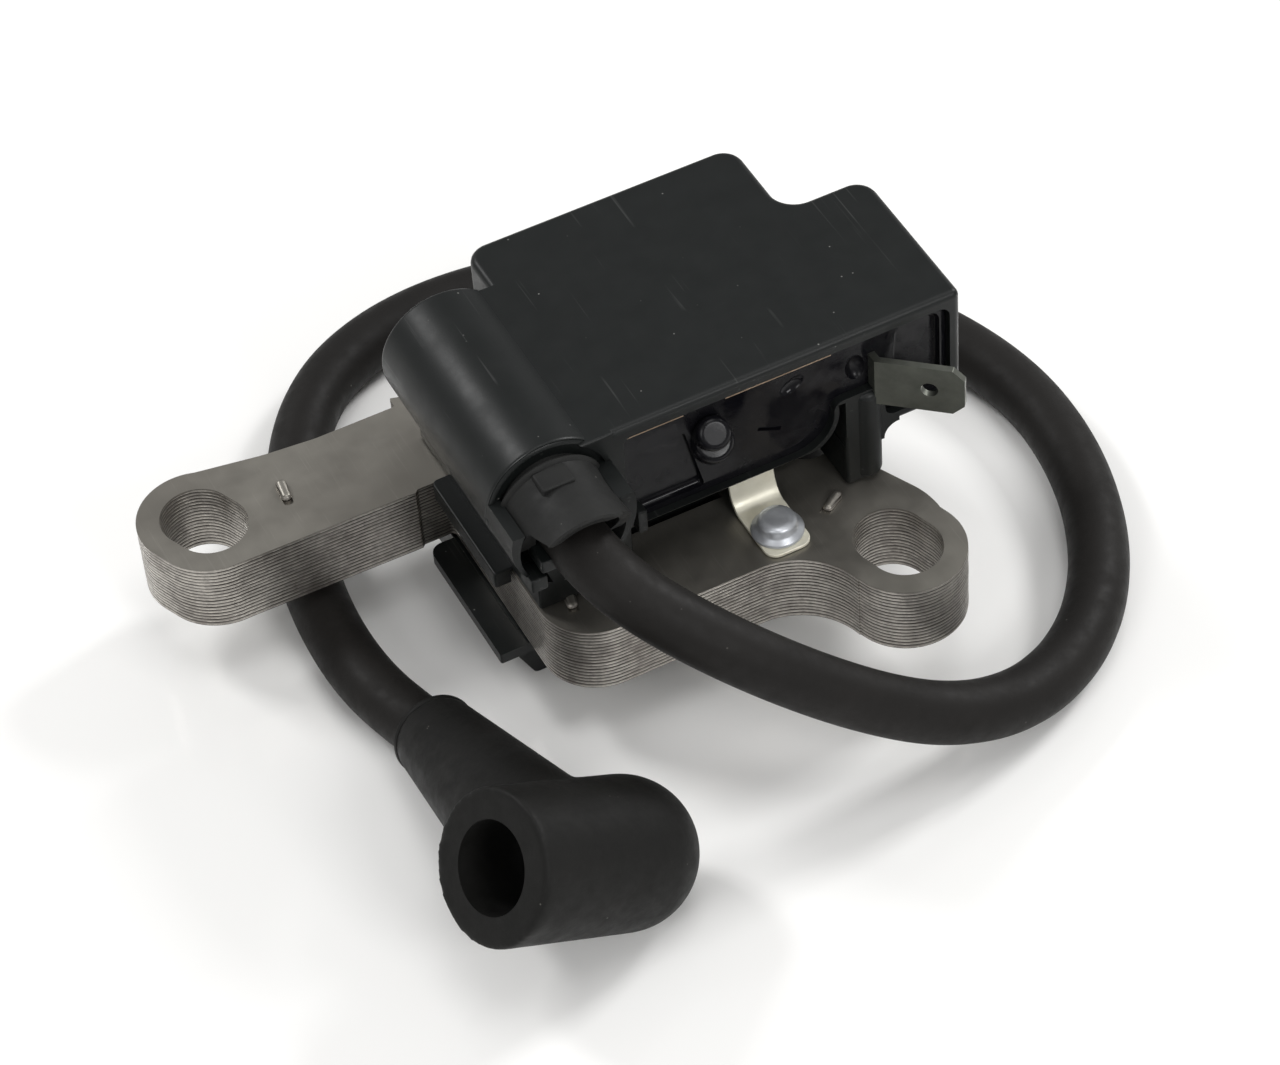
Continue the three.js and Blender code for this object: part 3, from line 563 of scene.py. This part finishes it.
def makeSheet():
    c = core
    low, high = 0.0, c["sheet"] * (1 - c["gapShare"])
    ex, ey = c["leftEar"]
    rx, ry = c["rightEar"]
    reach = c["earRadius"]
    sheet = raiseOutline("coreSheet", [
        (ex + 0.6, c["armBack"] + 2.3, 0),
        (ex + 9.8, c["armBack"] + 0.6, 20),
        (c["poleLeft"] - 9.8, c["armBack"], 6),
        (c["poleLeft"], c["armBack"], 0.3),
        (c["poleLeft"], c["poleEnd"], 0.3),
        (c["legRight"], c["poleEnd"], 0.3),
        (c["legRight"], c["yokeBack"], 3),
        (rx + 1, c["yokeBack"], 3),
        (rx + 2.4, c["yokeBack"] - 2.5, 3),
        (rx + 6.2, ry + 5, 9),
        (rx + 6.75, ry, 3),
        (rx - 2.3, ry - 1.5, 0),
        (rx - 6.4, ry - 2.65, 0),
        (rx - 8.05, c["yokeFront"], 8.5),
        (c["legLeft"], c["yokeFront"], 6.5),
        (c["legLeft"], c["armFront"], 0.6),
        (-12.9, c["armFront"], 0.15),
        (-13.3, c["armFront"] - 0.35, 0.15),
        (ex - 0.2, c["armFront"] - 0.1, 0),
        (ex - 2, ey, 0),
    ], low, high, stepAngle=4)
    unite(sheet, slotShape("earRing", c["leftEar"], c["leftWay"], reach, low, high),
          slotShape("earRing", c["rightEar"], c["rightWay"], reach, low, high))
    carve(sheet, block("window", 1.5, 15.5, c["yokeBack"], 60, -1, 2),
          slotShape("slot", c["leftEar"], c["leftWay"], c["slotRadius"], -1, 2),
          slotShape("slot", c["rightEar"], c["rightWay"], c["slotRadius"], -1, 2))
    flywheelY = c["poleEnd"] + math.sqrt(60 ** 2 - 18.2 ** 2)
    carve(sheet, rod("flywheel", (8.5, flywheelY, -1), (8.5, flywheelY, 2), 60, sides=360))
    softenEdges(sheet, c["edge"], 2, 50)
    return sheet


def liftedCopy(piece, name, height, shift):
    copy = piece.copy()
    copy.data = piece.data.copy()
    copy.name = name
    bpy.context.scene.collection.objects.link(copy)
    copy.location = mm(shift[0], shift[1], height)
    settle(copy)
    return copy


def interlockMark(x, y, turn, high):
    corners = [(-1.6, -0.62, 0.6), (1.35, -0.62, 0.6), (1.35, 0.62, 0.6), (-1.6, 0.62, 0.6)]
    mark = raiseOutline("lance", corners, -0.6, 0.7, rim=0.52, steps=5)
    mark.rotation_euler = (0, math.radians(9), math.radians(turn))
    mark.location = mm(x, y, high)
    settle(mark)
    return mark


def lancePocket(x, y, turn, high):
    corners = [(0.5, -0.62, 0.3), (1.95, -0.5, 0.3), (1.95, 0.5, 0.3), (0.5, 0.62, 0.3)]
    pocket = raiseOutline("pocket", corners, -0.4, 0.3)
    pocket.rotation_euler = (0, 0, math.radians(turn))
    pocket.location = mm(x, y, high)
    settle(pocket)
    return pocket


def makeCore():
    c = core
    sheet = makeSheet()
    sheets = []
    for i in range(c["count"]):
        shift = [random.uniform(-1, 1) * c["wobble"] for _ in range(2)]
        sheets.append(liftedCopy(sheet, f"coreSheet_{i + 1}", c["low"] + i * c["sheet"], shift))
    bpy.data.objects.remove(sheet)
    high = c["low"] + c["count"] * c["sheet"]
    top = sheets[-1]
    for x, y, turn in core["lances"]:
        carve(top, lancePocket(x, y, turn, high))
    for x, y, turn in core["lances"]:
        join(top, interlockMark(x, y, turn, high))
    top.name = "coreTopSheet"
    bottom = sheets[0]
    bottom.name = "coreBottomSheet"
    pack = join(sheets[1], *sheets[2:-1])
    pack.name = "coreSheetPack"
    finishPiece(bottom, finishes["steel"], "steel_sheet", "core_lamination_bottom")
    finishPiece(pack, finishes["steel"], "steel_sheet", "core_lamination_pack")
    finishPiece(top, finishes["steel"], "steel_sheet", "core_lamination_top")


makeCore()
print("core is stacked")


# shell

shell = {
    "wall": 1.4,
    "top": 40.2,
    "left": -0.8,
    "right": 32.3,
    "back": 22.2,
    "floor": 24.5,
    "front": -10.6,
    "blockRight": 42.45,
    "blockBack": 10.25,
    "corner": 2.5,
    "edge": 0.85,
    "legFront": -4.5,
    "tubLeft": -9.6,
    "tubRight": 32.8,
    "tubFront": -3.4,
    "tubBack": 20,
    "taper": 3.5,
    "gap": 0.3,
    "windowLeft": 1.9,
    "windowRight": 26.8,
    "windowCorner": 4.5,
    "windowTop": 38.6,
    "lip": 0.6,
    "sill": 31,
    "towerX": -6.7,
    "towerZ": 34.6,
    "towerRadius": 7.3,
    "towerBore": 5.7,
    "towerFront": -10.2,
    "towerBack": 16.2,
    "capX": -6.9,
    "capZ": 33.5,
}


def boxCorners(inset):
    s = shell
    edge = max(s["corner"] - inset, 0.6)
    front = s["front"] - (1 if inset else 0)
    return [
        (s["left"] + inset, front, 0),
        (s["blockRight"] - inset, front, 0),
        (s["blockRight"] - inset, s["blockBack"] - inset, edge),
        (s["right"] - inset, s["blockBack"] - inset, 4.2 if inset else 3.0),
        (s["right"] - inset, s["back"] - inset, edge),
        (s["left"] + inset, s["back"] - inset, edge),
    ]


def tubCorners(inset):
    s = shell
    low = s["taper"] - inset * 0.4
    roof = s["floor"] + 1 + inset * 2
    coreLow = core["low"] - s["gap"]
    return [
        (s["tubLeft"] + inset, coreLow, 0),
        (s["tubLeft"] + inset, low, 0.6),
        (s["tubLeft"] + low * 0.5 + inset, inset, 0.8),
        (s["tubRight"] - low - inset, inset, 2),
        (s["tubRight"] - inset, low + 3, 2),
        (s["tubRight"] - inset, roof, 0),
        (core["legLeft"] + inset, roof, 0),
        (core["legLeft"] + inset, coreLow, 0),
    ]


def faceCorners(inset):
    s = shell
    low = s["floor"] + s["lip"] + inset
    high = s["windowTop"] - inset
    left = s["windowLeft"] + inset
    right = s["blockRight"] - s["wall"] - inset
    return [
        (left, low, 1.0),
        (s["windowRight"] - inset, low, s["windowCorner"]),
        (s["windowRight"] - inset, s["sill"] + inset, 1.2),
        (s["tubRight"] + 0.2 + inset, s["sill"] + inset, 0.8),
        (s["tubRight"] + 0.2 + inset, low + 0.8, 1.2),
        (right, low + 0.8, 1.4),
        (right, high, 1.4),
        (left, high, 1.0),
    ]


# the space the core needs, a little larger than the sheets
def coreRoom():
    c, g = core, shell["gap"]
    room = raiseOutline("coreRoom", [
        (c["leftEar"][0], c["armBack"] + g, 0),
        (c["poleLeft"] - g, c["armBack"] + g, 0),
        (c["poleLeft"] - g, c["poleEnd"] + 2, 0),
        (c["legRight"] + g, c["poleEnd"] + 2, 0),
        (c["legRight"] + g, c["yokeBack"] + g, 0),
        (c["rightEar"][0] + 1.3, c["yokeBack"] + g, 3),
        (c["rightEar"][0] + 5, -10.2, 2),
        (c["rightEar"][0] + 5, -30, 0),
        (c["legLeft"] - g, -30, 0),
        (c["legLeft"] - g, c["armFront"] - g, 0),
        (c["leftEar"][0], c["armFront"] - g, 0),
    ], c["low"] - g - 0.03, c["low"] + c["count"] * c["sheet"] + g + 0.03)
    return carve(room, block("window", 1.5 + g, 15.5 - g, c["yokeBack"] + g, 60, 0, 30))


def makeShell():
    s = shell
    coreTop = core["low"] + core["count"] * core["sheet"]
    sit = coreTop + s["gap"]
    x, z, radius = s["towerX"], s["towerZ"], s["towerRadius"]
    legLeft = core["legLeft"]
    body = raiseOutline("shell", boxCorners(0), s["floor"], s["top"], rim=s["edge"], steps=4)
    middle = raiseOutline("middle", [
        (legLeft, s["legFront"], 0.5), (s["tubRight"], s["legFront"], 0.3),
        (s["tubRight"], s["tubBack"], 1.5), (legLeft, s["tubBack"], 1.5),
    ], sit, s["floor"] + s["wall"], rim=0.25)
    leg = raiseOutline("leg", [
        (28.1, s["front"], 0.5), (s["tubRight"], s["front"], 1.2),
        (s["tubRight"], s["legFront"] + 2, 0), (28.1, s["legFront"] + 2, 0),
    ], sit, s["floor"] + 3)
    columnX, columnY = s["tubRight"] - 1.75, s["front"] + 1.1
    column = rod("column", (columnX, columnY, sit), (columnX, columnY, 30.7), 1.75, sides=64, rim=0.8)
    filler = raiseOutline("filler", [
        (s["towerX"] + 3.2, 33, 0), (s["left"] + 1.8, 33, 0), (s["left"] + 1.8, s["top"], 0),
        (s["towerX"] + 3.2, s["top"], 0)], s["front"], s["towerBack"] - 0.4, along="Y", rim=0.3)
    fillet = raiseOutline("fillet", [
        (32.0, 22.6, 0), (s["tubRight"], 22.6, 0), (s["tubRight"] + 0.01, 24.5, 1.8), (34.7, 24.5, 0),
        (34.7, 25.5, 0), (32.0, 25.5, 0),
    ], s["front"], s["legFront"] + 2, along="Y")
    tower = rodY("tower", x, z, s["towerFront"], s["towerBack"], radius, sides=128, rim=0.6)
    side = raiseOutline("towerSide", [
        (legLeft, sit, 0.3), (s["left"] + 3, sit, 0), (s["left"] + 3, z, 0), (x - radius, z, 0),
        (x - radius, z - 1.5, 3), (legLeft, z - 6.8, 3),
    ], s["towerFront"], s["towerBack"] - 1, along="Y", rim=0.2)
    tub = raiseOutline("tub", tubCorners(0), s["tubFront"], s["tubBack"], along="Y", rim=0.4)
    flangeA = raiseOutline("flangeA", [
        (legLeft - 2.2, s["tubFront"], 0.3), (legLeft + 1, s["tubFront"], 0.3),
        (legLeft + 1, core["armFront"] - 0.3, 0.3), (legLeft - 2.2, core["armFront"] - 0.3, 0.8),
    ], coreTop - 1.6, sit + 0.4, rim=0.2)
    flangeB = raiseOutline("flangeB", [
        (s["tubLeft"] - 3.1, s["tubFront"] - 2.4, 0.25), (s["tubLeft"] + 2.7, s["tubFront"] - 2.4, 0.25),
        (s["tubLeft"] + 2.7, core["armFront"] - 0.37, 0.3), (s["tubLeft"] - 3.1, core["armFront"] - 0.3, 1.5),
    ], core["low"] - 1.8, core["low"] - s["gap"] - 0.1)
    trough = rodY("trough", x, z, -15.9, s["towerFront"] + 1.3, radius - 0.07, sides=100)
    carve(trough, block("upper", -30, 20, -30, s["towerFront"] + 0.2, 36.5, 60))
    lugs = [
        block("lug", -11.4, -9.3, -17.3, -14, 31.4, 33.2, rim=0.3),
        block("lug", -12.6, -10.6, -16.9, -14, 28.6, 30.6, rim=0.3),
        block("lug", 2.3, 3.5, -11.9, -10, 25.0, 28.2, rim=0.3),
    ]
    carve(trough, rodY("capSpace", s["capX"], s["capZ"], -22, s["towerFront"] + 2, 6.15, sides=96))
    unite(body, middle, leg, column, filler, fillet, tower, side, tub, flangeA)

    reach = s["windowCorner"] + s["lip"]
    voidX, voidZ = s["windowRight"] + s["lip"] - reach, s["floor"] + reach
    corner = block("faceVoid", voidX, 28.17, s["front"] - 1, s["legFront"] + 0.6, s["floor"] - 1, voidZ + 0.9)
    carve(corner, rodY("round", voidX - 0.01, voidZ, s["front"] - 2, s["legFront"] + 1, reach, sides=96))
    room = raiseOutline("room", boxCorners(s["wall"]), s["floor"] + s["wall"], s["top"] - s["wall"])
    carve(room, block("front", -60, 60, -60, s["legFront"] + s["wall"], 0, 60))
    face = raiseOutline("face", faceCorners(0), s["front"] - 1, s["legFront"] + s["wall"] + 0.5, along="Y")
    lowFront, lowBack = s["tubFront"] + s["wall"], s["tubBack"] - s["wall"]
    lower = raiseOutline("lower", tubCorners(s["wall"]), lowFront, lowBack, along="Y")
    carve(lower, block("underTower", -20, s["left"] + s["wall"], -20, 40, s["floor"], 60))
    bore = rodY("bore", x, z, s["towerFront"] - 1, s["towerBack"] - s["wall"], s["towerBore"], sides=96)
    mouth = rodY("mouth", x, z, s["towerFront"] - 1, s["towerFront"] + 1.3, radius - 0.6, sides=96)
    carve(body, corner, room, face, lower, bore, mouth, coreRoom())
    join(body, flangeB, trough, *lugs)
    finishPiece(body, finishes["shell"], "housing_plastic", "shell", angle=30)
    return body


makeShell()
print("shell is moulded")


# resin

resin = {
    "front": -10.2,
    "back": -6.0,
    "menisci": ((0.3, 0.28), (0.35, 0.16), (0.5, 0.08), (0.8, 0.03)),
}


def makeResin():
    slab = raiseOutline("resin", faceCorners(0.02), resin["front"], resin["back"], along="Y")
    for face in slab.data.polygons:
        face.select = face.normal.y < -0.9
    pickOnly(slab)
    bpy.ops.object.mode_set(mode="EDIT")
    bpy.ops.mesh.select_mode(type="FACE")
    for width, sink in resin["menisci"]:
        bpy.ops.mesh.inset(thickness=width * 0.001, depth=0)
        bpy.ops.transform.translate(value=(0, sink * 0.001, 0))
    bpy.ops.mesh.select_mode(type="VERT")
    bpy.ops.object.mode_set(mode="OBJECT")
    front = resin["front"]
    panel = raiseOutline("panel", [(3.0, 25.9, 0.5), (11.4, 25.9, 0.5), (9.4, 34.9, 0.5), (3.6, 34.6, 0.5)],
                         front - 2, front + 1.3, along="Y", rim=0.4)
    cell = raiseOutline("cell", [(34.0, 27, 1.4), (40.3, 27, 1.4), (40.3, 37.6, 1.4), (34.8, 37.6, 1.4)],
                        front - 2, front + 1.5, along="Y", rim=0.9)
    dash = block("dash", -1.5, 1.5, front - 1, front + 1.1, -0.28, 0.28, rim=0.12)
    dash.rotation_euler = (0, math.radians(25), 0)
    dash.location = mm(19.4, 0, 30.3)
    settle(dash)
    carve(slab, panel, cell, dash, dimple((22.3, front + 0.2, 35.4), (1.7, 0.9, 1.05), 30),
          dimple((29.9, front + 0.1, 34.2), (1.25, 1.4, 1.9), 8))
    knob = rod("knob", (12.4, front + 1, 33.2), (12.0, front - 1.5, 35.2), 2.1, 1.9,
               sides=64, rim=0.75, steps=5)
    skirt = rod("skirt", (12.6, front + 1.2, 31.4), (12.3, front - 0.6, 33.0), 2.6, 2.2, sides=64, rim=0.6)
    unite(slab, skirt, knob)
    finishPiece(slab, finishes["resin"], "potting_resin", "epoxy_fill", angle=40)
    # painted reflection: two thin gold-coloured rods along the inner top edge of the rim stand in for the
    # warm glint of light on that edge
    for start, end in ((2.4, 9.0), (14.0, 26.6)):
        rimGlint = rod("rimGlintRod", (start, front - 0.32, shell["windowTop"] - 0.12),
                   (end, front - 0.32, shell["windowTop"] - 0.12), 0.09, sides=12)
        finishPiece(rimGlint, finishes["rimGlint"], "copper_wire")


def dimple(place, size, turn):
    bpy.ops.object.select_all(action="DESELECT")
    bpy.ops.mesh.primitive_uv_sphere_add(segments=48, ring_count=24, radius=0.001)
    piece = bpy.context.object
    piece.scale = size
    piece.rotation_euler = (0, math.radians(-turn), 0)
    piece.location = mm(*place)
    settle(piece)
    return piece


makeResin()


# lead, cap and boot

lead = {
    "diameter": 6.9,
    "exit": (-6.9, -19.3, 33.5),
    "route": [
        (-6.9, 2.6, 33.5), (-6.9, -8, 33.5), (-6.9, -15.5, 33.5), (-6.4, -20.4, 33), (-4.4, -25, 31.3),
        (-0.8, -28.9, 28.6), (3.6, -32, 25), (8.7, -34.2, 20.6), (14.2, -35.9, 16), (19.6, -37.1, 12),
        (24.4, -37.8, 9), (29.7, -38, 6.7), (35.2, -37.2, 5), (41, -34.9, 4), (46.2, -31.3, 3.6),
        (50.4, -26.8, 3.52), (54, -21.2, 3.52), (57, -14, 3.52), (58.8, -6, 3.52), (59.2, 2, 3.52),
        (57.9, 10, 3.52), (54.6, 19, 3.52), (49, 28, 3.52), (41.4, 36.2, 3.52), (32, 43.2, 3.52),
        (21.8, 48.4, 3.52), (11, 51.2, 3.52), (1.2, 51.3, 3.52), (-7.8, 48.6, 3.52), (-14.6, 43, 3.52),
        (-19.6, 35.2, 3.52), (-23.4, 26, 3.52), (-25.6, 16, 3.52), (-26.2, 6.4, 3.52), (-25.2, -2, 3.6),
        (-22.9, -9.9, 4.85), (-22.22, -22.36, 8.49),
    ],
}


# a curve through the route's points, evened out a little
def smoothRoute(points, steps=8):
    points = [Vector(p) for p in points]
    ends = [points[0] * 2 - points[1], *points, points[-1] * 2 - points[-2]]
    made = []
    for i in range(1, len(ends) - 2):
        p0, p1, p2, p3 = ends[i - 1:i + 3]
        for k in range(steps):
            t = k / steps
            made.append(0.5 * (2 * p1 + (p2 - p0) * t + (2 * p0 - 5 * p1 + 4 * p2 - p3) * t * t
                               + (3 * p1 - p0 - 3 * p2 + p3) * t ** 3))
    made.append(points[-1])
    for _ in range(40):
        made = [made[0], *[(a + 2 * b + c) / 4 for a, b, c in zip(made, made[1:], made[2:])], made[-1]]
    return made


def makeLead():
    line = smoothRoute(lead["route"])
    data = bpy.data.curves.new("plugLead", "CURVE")
    data.dimensions = "3D"
    data.bevel_depth = lead["diameter"] * 0.0005
    data.bevel_resolution = 12
    data.use_fill_caps = True
    data.twist_mode = "MINIMUM"
    spline = data.splines.new("POLY")
    spline.points.add(len(line) - 1)
    for point, place in zip(spline.points, line):
        point.co = (*(place * 0.001), 1)
    spline.use_smooth = True
    piece = bpy.data.objects.new("plugLead", data)
    bpy.context.scene.collection.objects.link(piece)
    data.materials.append(finishes["lead"])
    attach(piece, "root")
    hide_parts("plug_lead")
    length = sum((b - a).length for a, b in zip(line, line[1:]))
    print("lead is", round(length), "mm long")
    return piece, length


def makeCap():
    x, z = shell["capX"], shell["capZ"]
    profile = [
        (3.75, 9.3), (5.3, 9.3), (5.3, 10.0), (5.5, 10.15), (5.95, 10.3), (6.1, 10.55),
        (5.95, 10.8), (5.7, 10.95), (5.65, 12.4), (5.75, 14.4), (6.0, 16.6), (6.3, 18.9),
        (6.35, 19.3), (6.1, 19.5), (5.4, 19.4), (5.2, 18.8), (4.6, 17.0), (3.9, 14.6),
    ]
    cap = turned("leadCap", profile, 96)
    cap.rotation_euler = (math.radians(97.1), 0, 0)
    cap.location = mm(x + 0.1, 0, z + 2.4)
    settle(cap)
    leftSide = [
        (-25, 20, 0), (-25, 38.0, 0), (-19.4, 37.9, 0), (-16.2, 36.9, 0.5), (-14.4, 32.6, 0.5),
        (-12.4, 32.6, 0), (-12.4, 20, 0),
    ]
    rightSide = [
        (-25, 20, 0), (-25, 38.6, 0), (-19.4, 38.4, 0), (-15.4, 31.6, 0.5), (-12.4, 31.6, 0),
        (-12.4, 20, 0),
    ]
    leftCut = raiseOutline("leftCut", leftSide, -20, x, along="X")
    rightCut = raiseOutline("rightCut", rightSide, x - 0.01, 10, along="X")
    carve(cap, leftCut, rightCut)
    padCorners = [(-9.2, -14.4, 0.3), (-5.4, -14.4, 0.3), (-5.4, -11.6, 0.3), (-9.2, -11.6, 0.3)]
    pad = raiseOutline("pad", padCorners, 37.2, 40.2, rim=0.25)
    unite(cap, pad)
    finishPiece(cap, finishes["cap"], "housing_plastic", "lead_cap", angle=38)
    return cap


boot = {
    "dome": (-14, -37, 8.4),
    "way": (-0.83, -0.13, 0.53),
    "radius": 8.35,
    "bore": 5.0,
    "length": 18.3,
    "mouth": (-22.9, -9.9, 4.85),
    "mouthRadius": 4.75,
    "rootRadius": 7.8,
    "fromDome": 8.8,
}


def makeBoot():
    b = boot
    dome, way = Vector(b["dome"]), Vector(b["way"]).normalized()
    mouth = Vector(b["mouth"])
    root = dome + way * b["fromDome"]
    sleeve = (root - mouth).normalized()
    body = rod("plugBoot", dome, dome + way * b["length"], b["radius"], sides=96)
    bpy.ops.object.select_all(action="DESELECT")
    bpy.ops.mesh.primitive_uv_sphere_add(segments=96, ring_count=48, radius=b["radius"] * 0.001,
                                         location=dome * 0.001)
    ball = bpy.context.object
    settle(ball)
    sleeveEnd = mouth + sleeve * ((root - mouth).length - 1.5)
    tube = rod("sleeve", mouth, sleeveEnd, b["mouthRadius"], b["rootRadius"], sides=96)
    unite(body, ball, tube)
    useModifier(body, "REMESH", mode="VOXEL", voxel_size=0.00032)
    useModifier(body, "SMOOTH", factor=0.5, iterations=14)
    bore = rod("bore", dome - way * 0.7, dome + way * (b["length"] + 2), b["bore"], sides=96)
    grip = rod("grip", mouth - sleeve * 2, mouth + sleeve * 13.3, 3.85, sides=64)
    carve(body, bore, grip)
    lip = rod("lip", mouth - sleeve * 0.25, mouth + sleeve * 0.35, 4.85, 4.8, sides=64, rim=0.12)
    carve(lip, rod("lipBore", mouth - sleeve * 2, mouth + sleeve * 2, 3.85, sides=64))
    unite(body, lip)
    finishPiece(body, finishes["boot"], "boot_rubber", "plug_boot", angle=50)
    return body


leadPiece, leadLength = makeLead()
makeCap()
bootPiece = makeBoot()
print("lead, cap and boot are in place")


# terminals

tab = {
    "x": 31.9,
    "bendY": -10.9,
    "low": 29.1,
    "width": 6.35,
    "thick": 0.8,
    "length": 9.6,
    "turn": -41,
    "chamfer": 1.3,
    "hole": 0.95,
}


def makeTab():
    t = tab
    low, high, half = t["low"], t["low"] + t["width"], t["thick"] / 2
    c, far = t["chamfer"], t["length"]
    blade = raiseOutline("stopBlade", [
        (-0.2, low, 0), (far - c, low, 0.2), (far, low + c, 0.2), (far, high - c, 0.2), (far - c, high, 0.2),
        (-0.2, high, 0)], -half, half, along="Y")
    carve(blade, rodY("hole", far * 0.6, (low + high) / 2, -2, 2, t["hole"], sides=40))
    blade.rotation_euler = (0, 0, math.radians(t["turn"]))
    blade.location = mm(t["x"], t["bendY"], 0)
    settle(blade)
    root = block("root", t["x"] - half, t["x"] + half, t["bendY"], -5, low, high)
    bend = rod("bend", (t["x"], t["bendY"], low), (t["x"], t["bendY"], high), half, sides=48)
    unite(blade, root, bend)
    softenEdges(blade, 0.1, 2, 40)
    finishPiece(blade, finishes["tab"], "tinned_steel", "stop_terminal")


strap = {
    "x": 18.2,
    "rivetY": -12.8,
    "half": 2.75,
    "thick": 0.45,
    # Y and height above the core where the strip bends
    "bends": ((-16.2, 0.03), (-9.0, 0.03), (-8.2, 0.25), (-7.5, 0.9), (-6.9, 2.0), (-6.5, 3.6), (-6.3, 5.2)),
}


def makeStrap():
    top = core["low"] + core["count"] * core["sheet"]
    x, y, half = strap["x"], strap["rivetY"], strap["half"]
    lower = [(a, top + b, 0) for a, b in strap["bends"]]
    upper = [(a - 0.25 * (b > 0.1) - 0.2 * (b > 1), top + b + strap["thick"] * (1 if b < 1 else 0.5), 0)
             for a, b in reversed(strap["bends"])]
    strip = raiseOutline("groundStrap", lower + upper, x - half, x + half, along="X")
    plan = [(x - half, -16.2, 1.5), (x + half, -16.2, 1.5), (x + half, 0, 0), (x - half, 0, 0)]
    ends = raiseOutline("ends", plan, top - 1, top + 12)
    useModifier(strip, "BOOLEAN", operation="INTERSECT", object=ends, solver="EXACT")
    bpy.data.objects.remove(ends)
    softenEdges(strip, 0.12, 2, 50)
    finishPiece(strip, finishes["strap"], "strap_metal", "ground_strap", angle=45)
    seat = top + 0.48
    profile = [
        (0, -3.0), (1.2, -3.0), (1.2, 0), (2.75, 0.0), (2.95, 0.12), (2.95, 0.3), (2.8, 0.5), (2.4, 0.72),
        (2.25, 0.95), (2.18, 1.45), (2.05, 1.75), (1.8, 1.92), (1.2, 2.0), (0.6, 1.98), (0, 1.95),
    ]
    rivet = turned("rivet", [(r, h + seat) for r, h in profile], 64)
    rivet.location = mm(x, y, 0)
    settle(rivet)
    finishPiece(rivet, finishes["rivet"], "rivet_aluminium", "rivet", angle=50)


makeTab()
makeStrap()
print("terminals are fitted")


# pieces behind the resin, as they come from the solid model

inner = {
    "ferrite": innerFinish("ferriteDark", (0.05, 0.05, 0.055), (0.1, 0.1, 0.11), 0.6),
    "nylon": innerFinish("bobbinNylon", (0.62, 0.58, 0.48), (0.75, 0.71, 0.62), 0.45, 0, 0.5),
    "copperY": innerFinish("copperWireY", (0.45, 0.17, 0.06), (0.72, 0.33, 0.14), 0.3, 0.9, 1.0, "Y"),
    "copperZ": innerFinish("copperWireZ", (0.45, 0.17, 0.06), (0.72, 0.33, 0.14), 0.3, 0.9, 1.0, "Z"),
    "board": innerFinish("boardGreen", (0.03, 0.12, 0.05), (0.06, 0.2, 0.09), 0.4),
    "film": innerFinish("filmBrown", (0.35, 0.12, 0.04), (0.5, 0.2, 0.08), 0.3),
    "black": innerFinish("partBlack", (0.01, 0.01, 0.01), (0.03, 0.03, 0.03), 0.4),
    "beige": innerFinish("partBeige", (0.5, 0.4, 0.25), (0.65, 0.55, 0.38), 0.5),
    "brass": innerFinish("contactBrass", (0.55, 0.4, 0.15), (0.75, 0.58, 0.28), 0.3, 1.0),
    "spring": innerFinish("springSteel", (0.4, 0.4, 0.4), (0.6, 0.6, 0.6), 0.3, 1.0),
}
innerNodes = {
    "transformer_core": "ferrite", "primary_bobbin": "nylon", "secondary_bobbin": "nylon",
    "charge_coil_bobbin": "nylon", "trigger_coil_bobbin": "nylon", "primary_winding": "copperY",
    "secondary_winding": "copperY", "charge_coil_winding": "copperY", "trigger_coil_winding": "copperZ",
    "circuit_board": "board", "storage_capacitor": "film", "thyristor": "black", "diode_1": "black",
    "diode_2": "black", "resistor_1": "beige", "resistor_2": "beige", "ht_terminal": "brass",
    "boot_spring_terminal": "spring",
}
for nodeName, finishName in innerNodes.items():
    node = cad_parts[nodeName]
    node.data.materials.clear()
    node.data.materials.append(inner[finishName])
print("inner pieces are coloured")
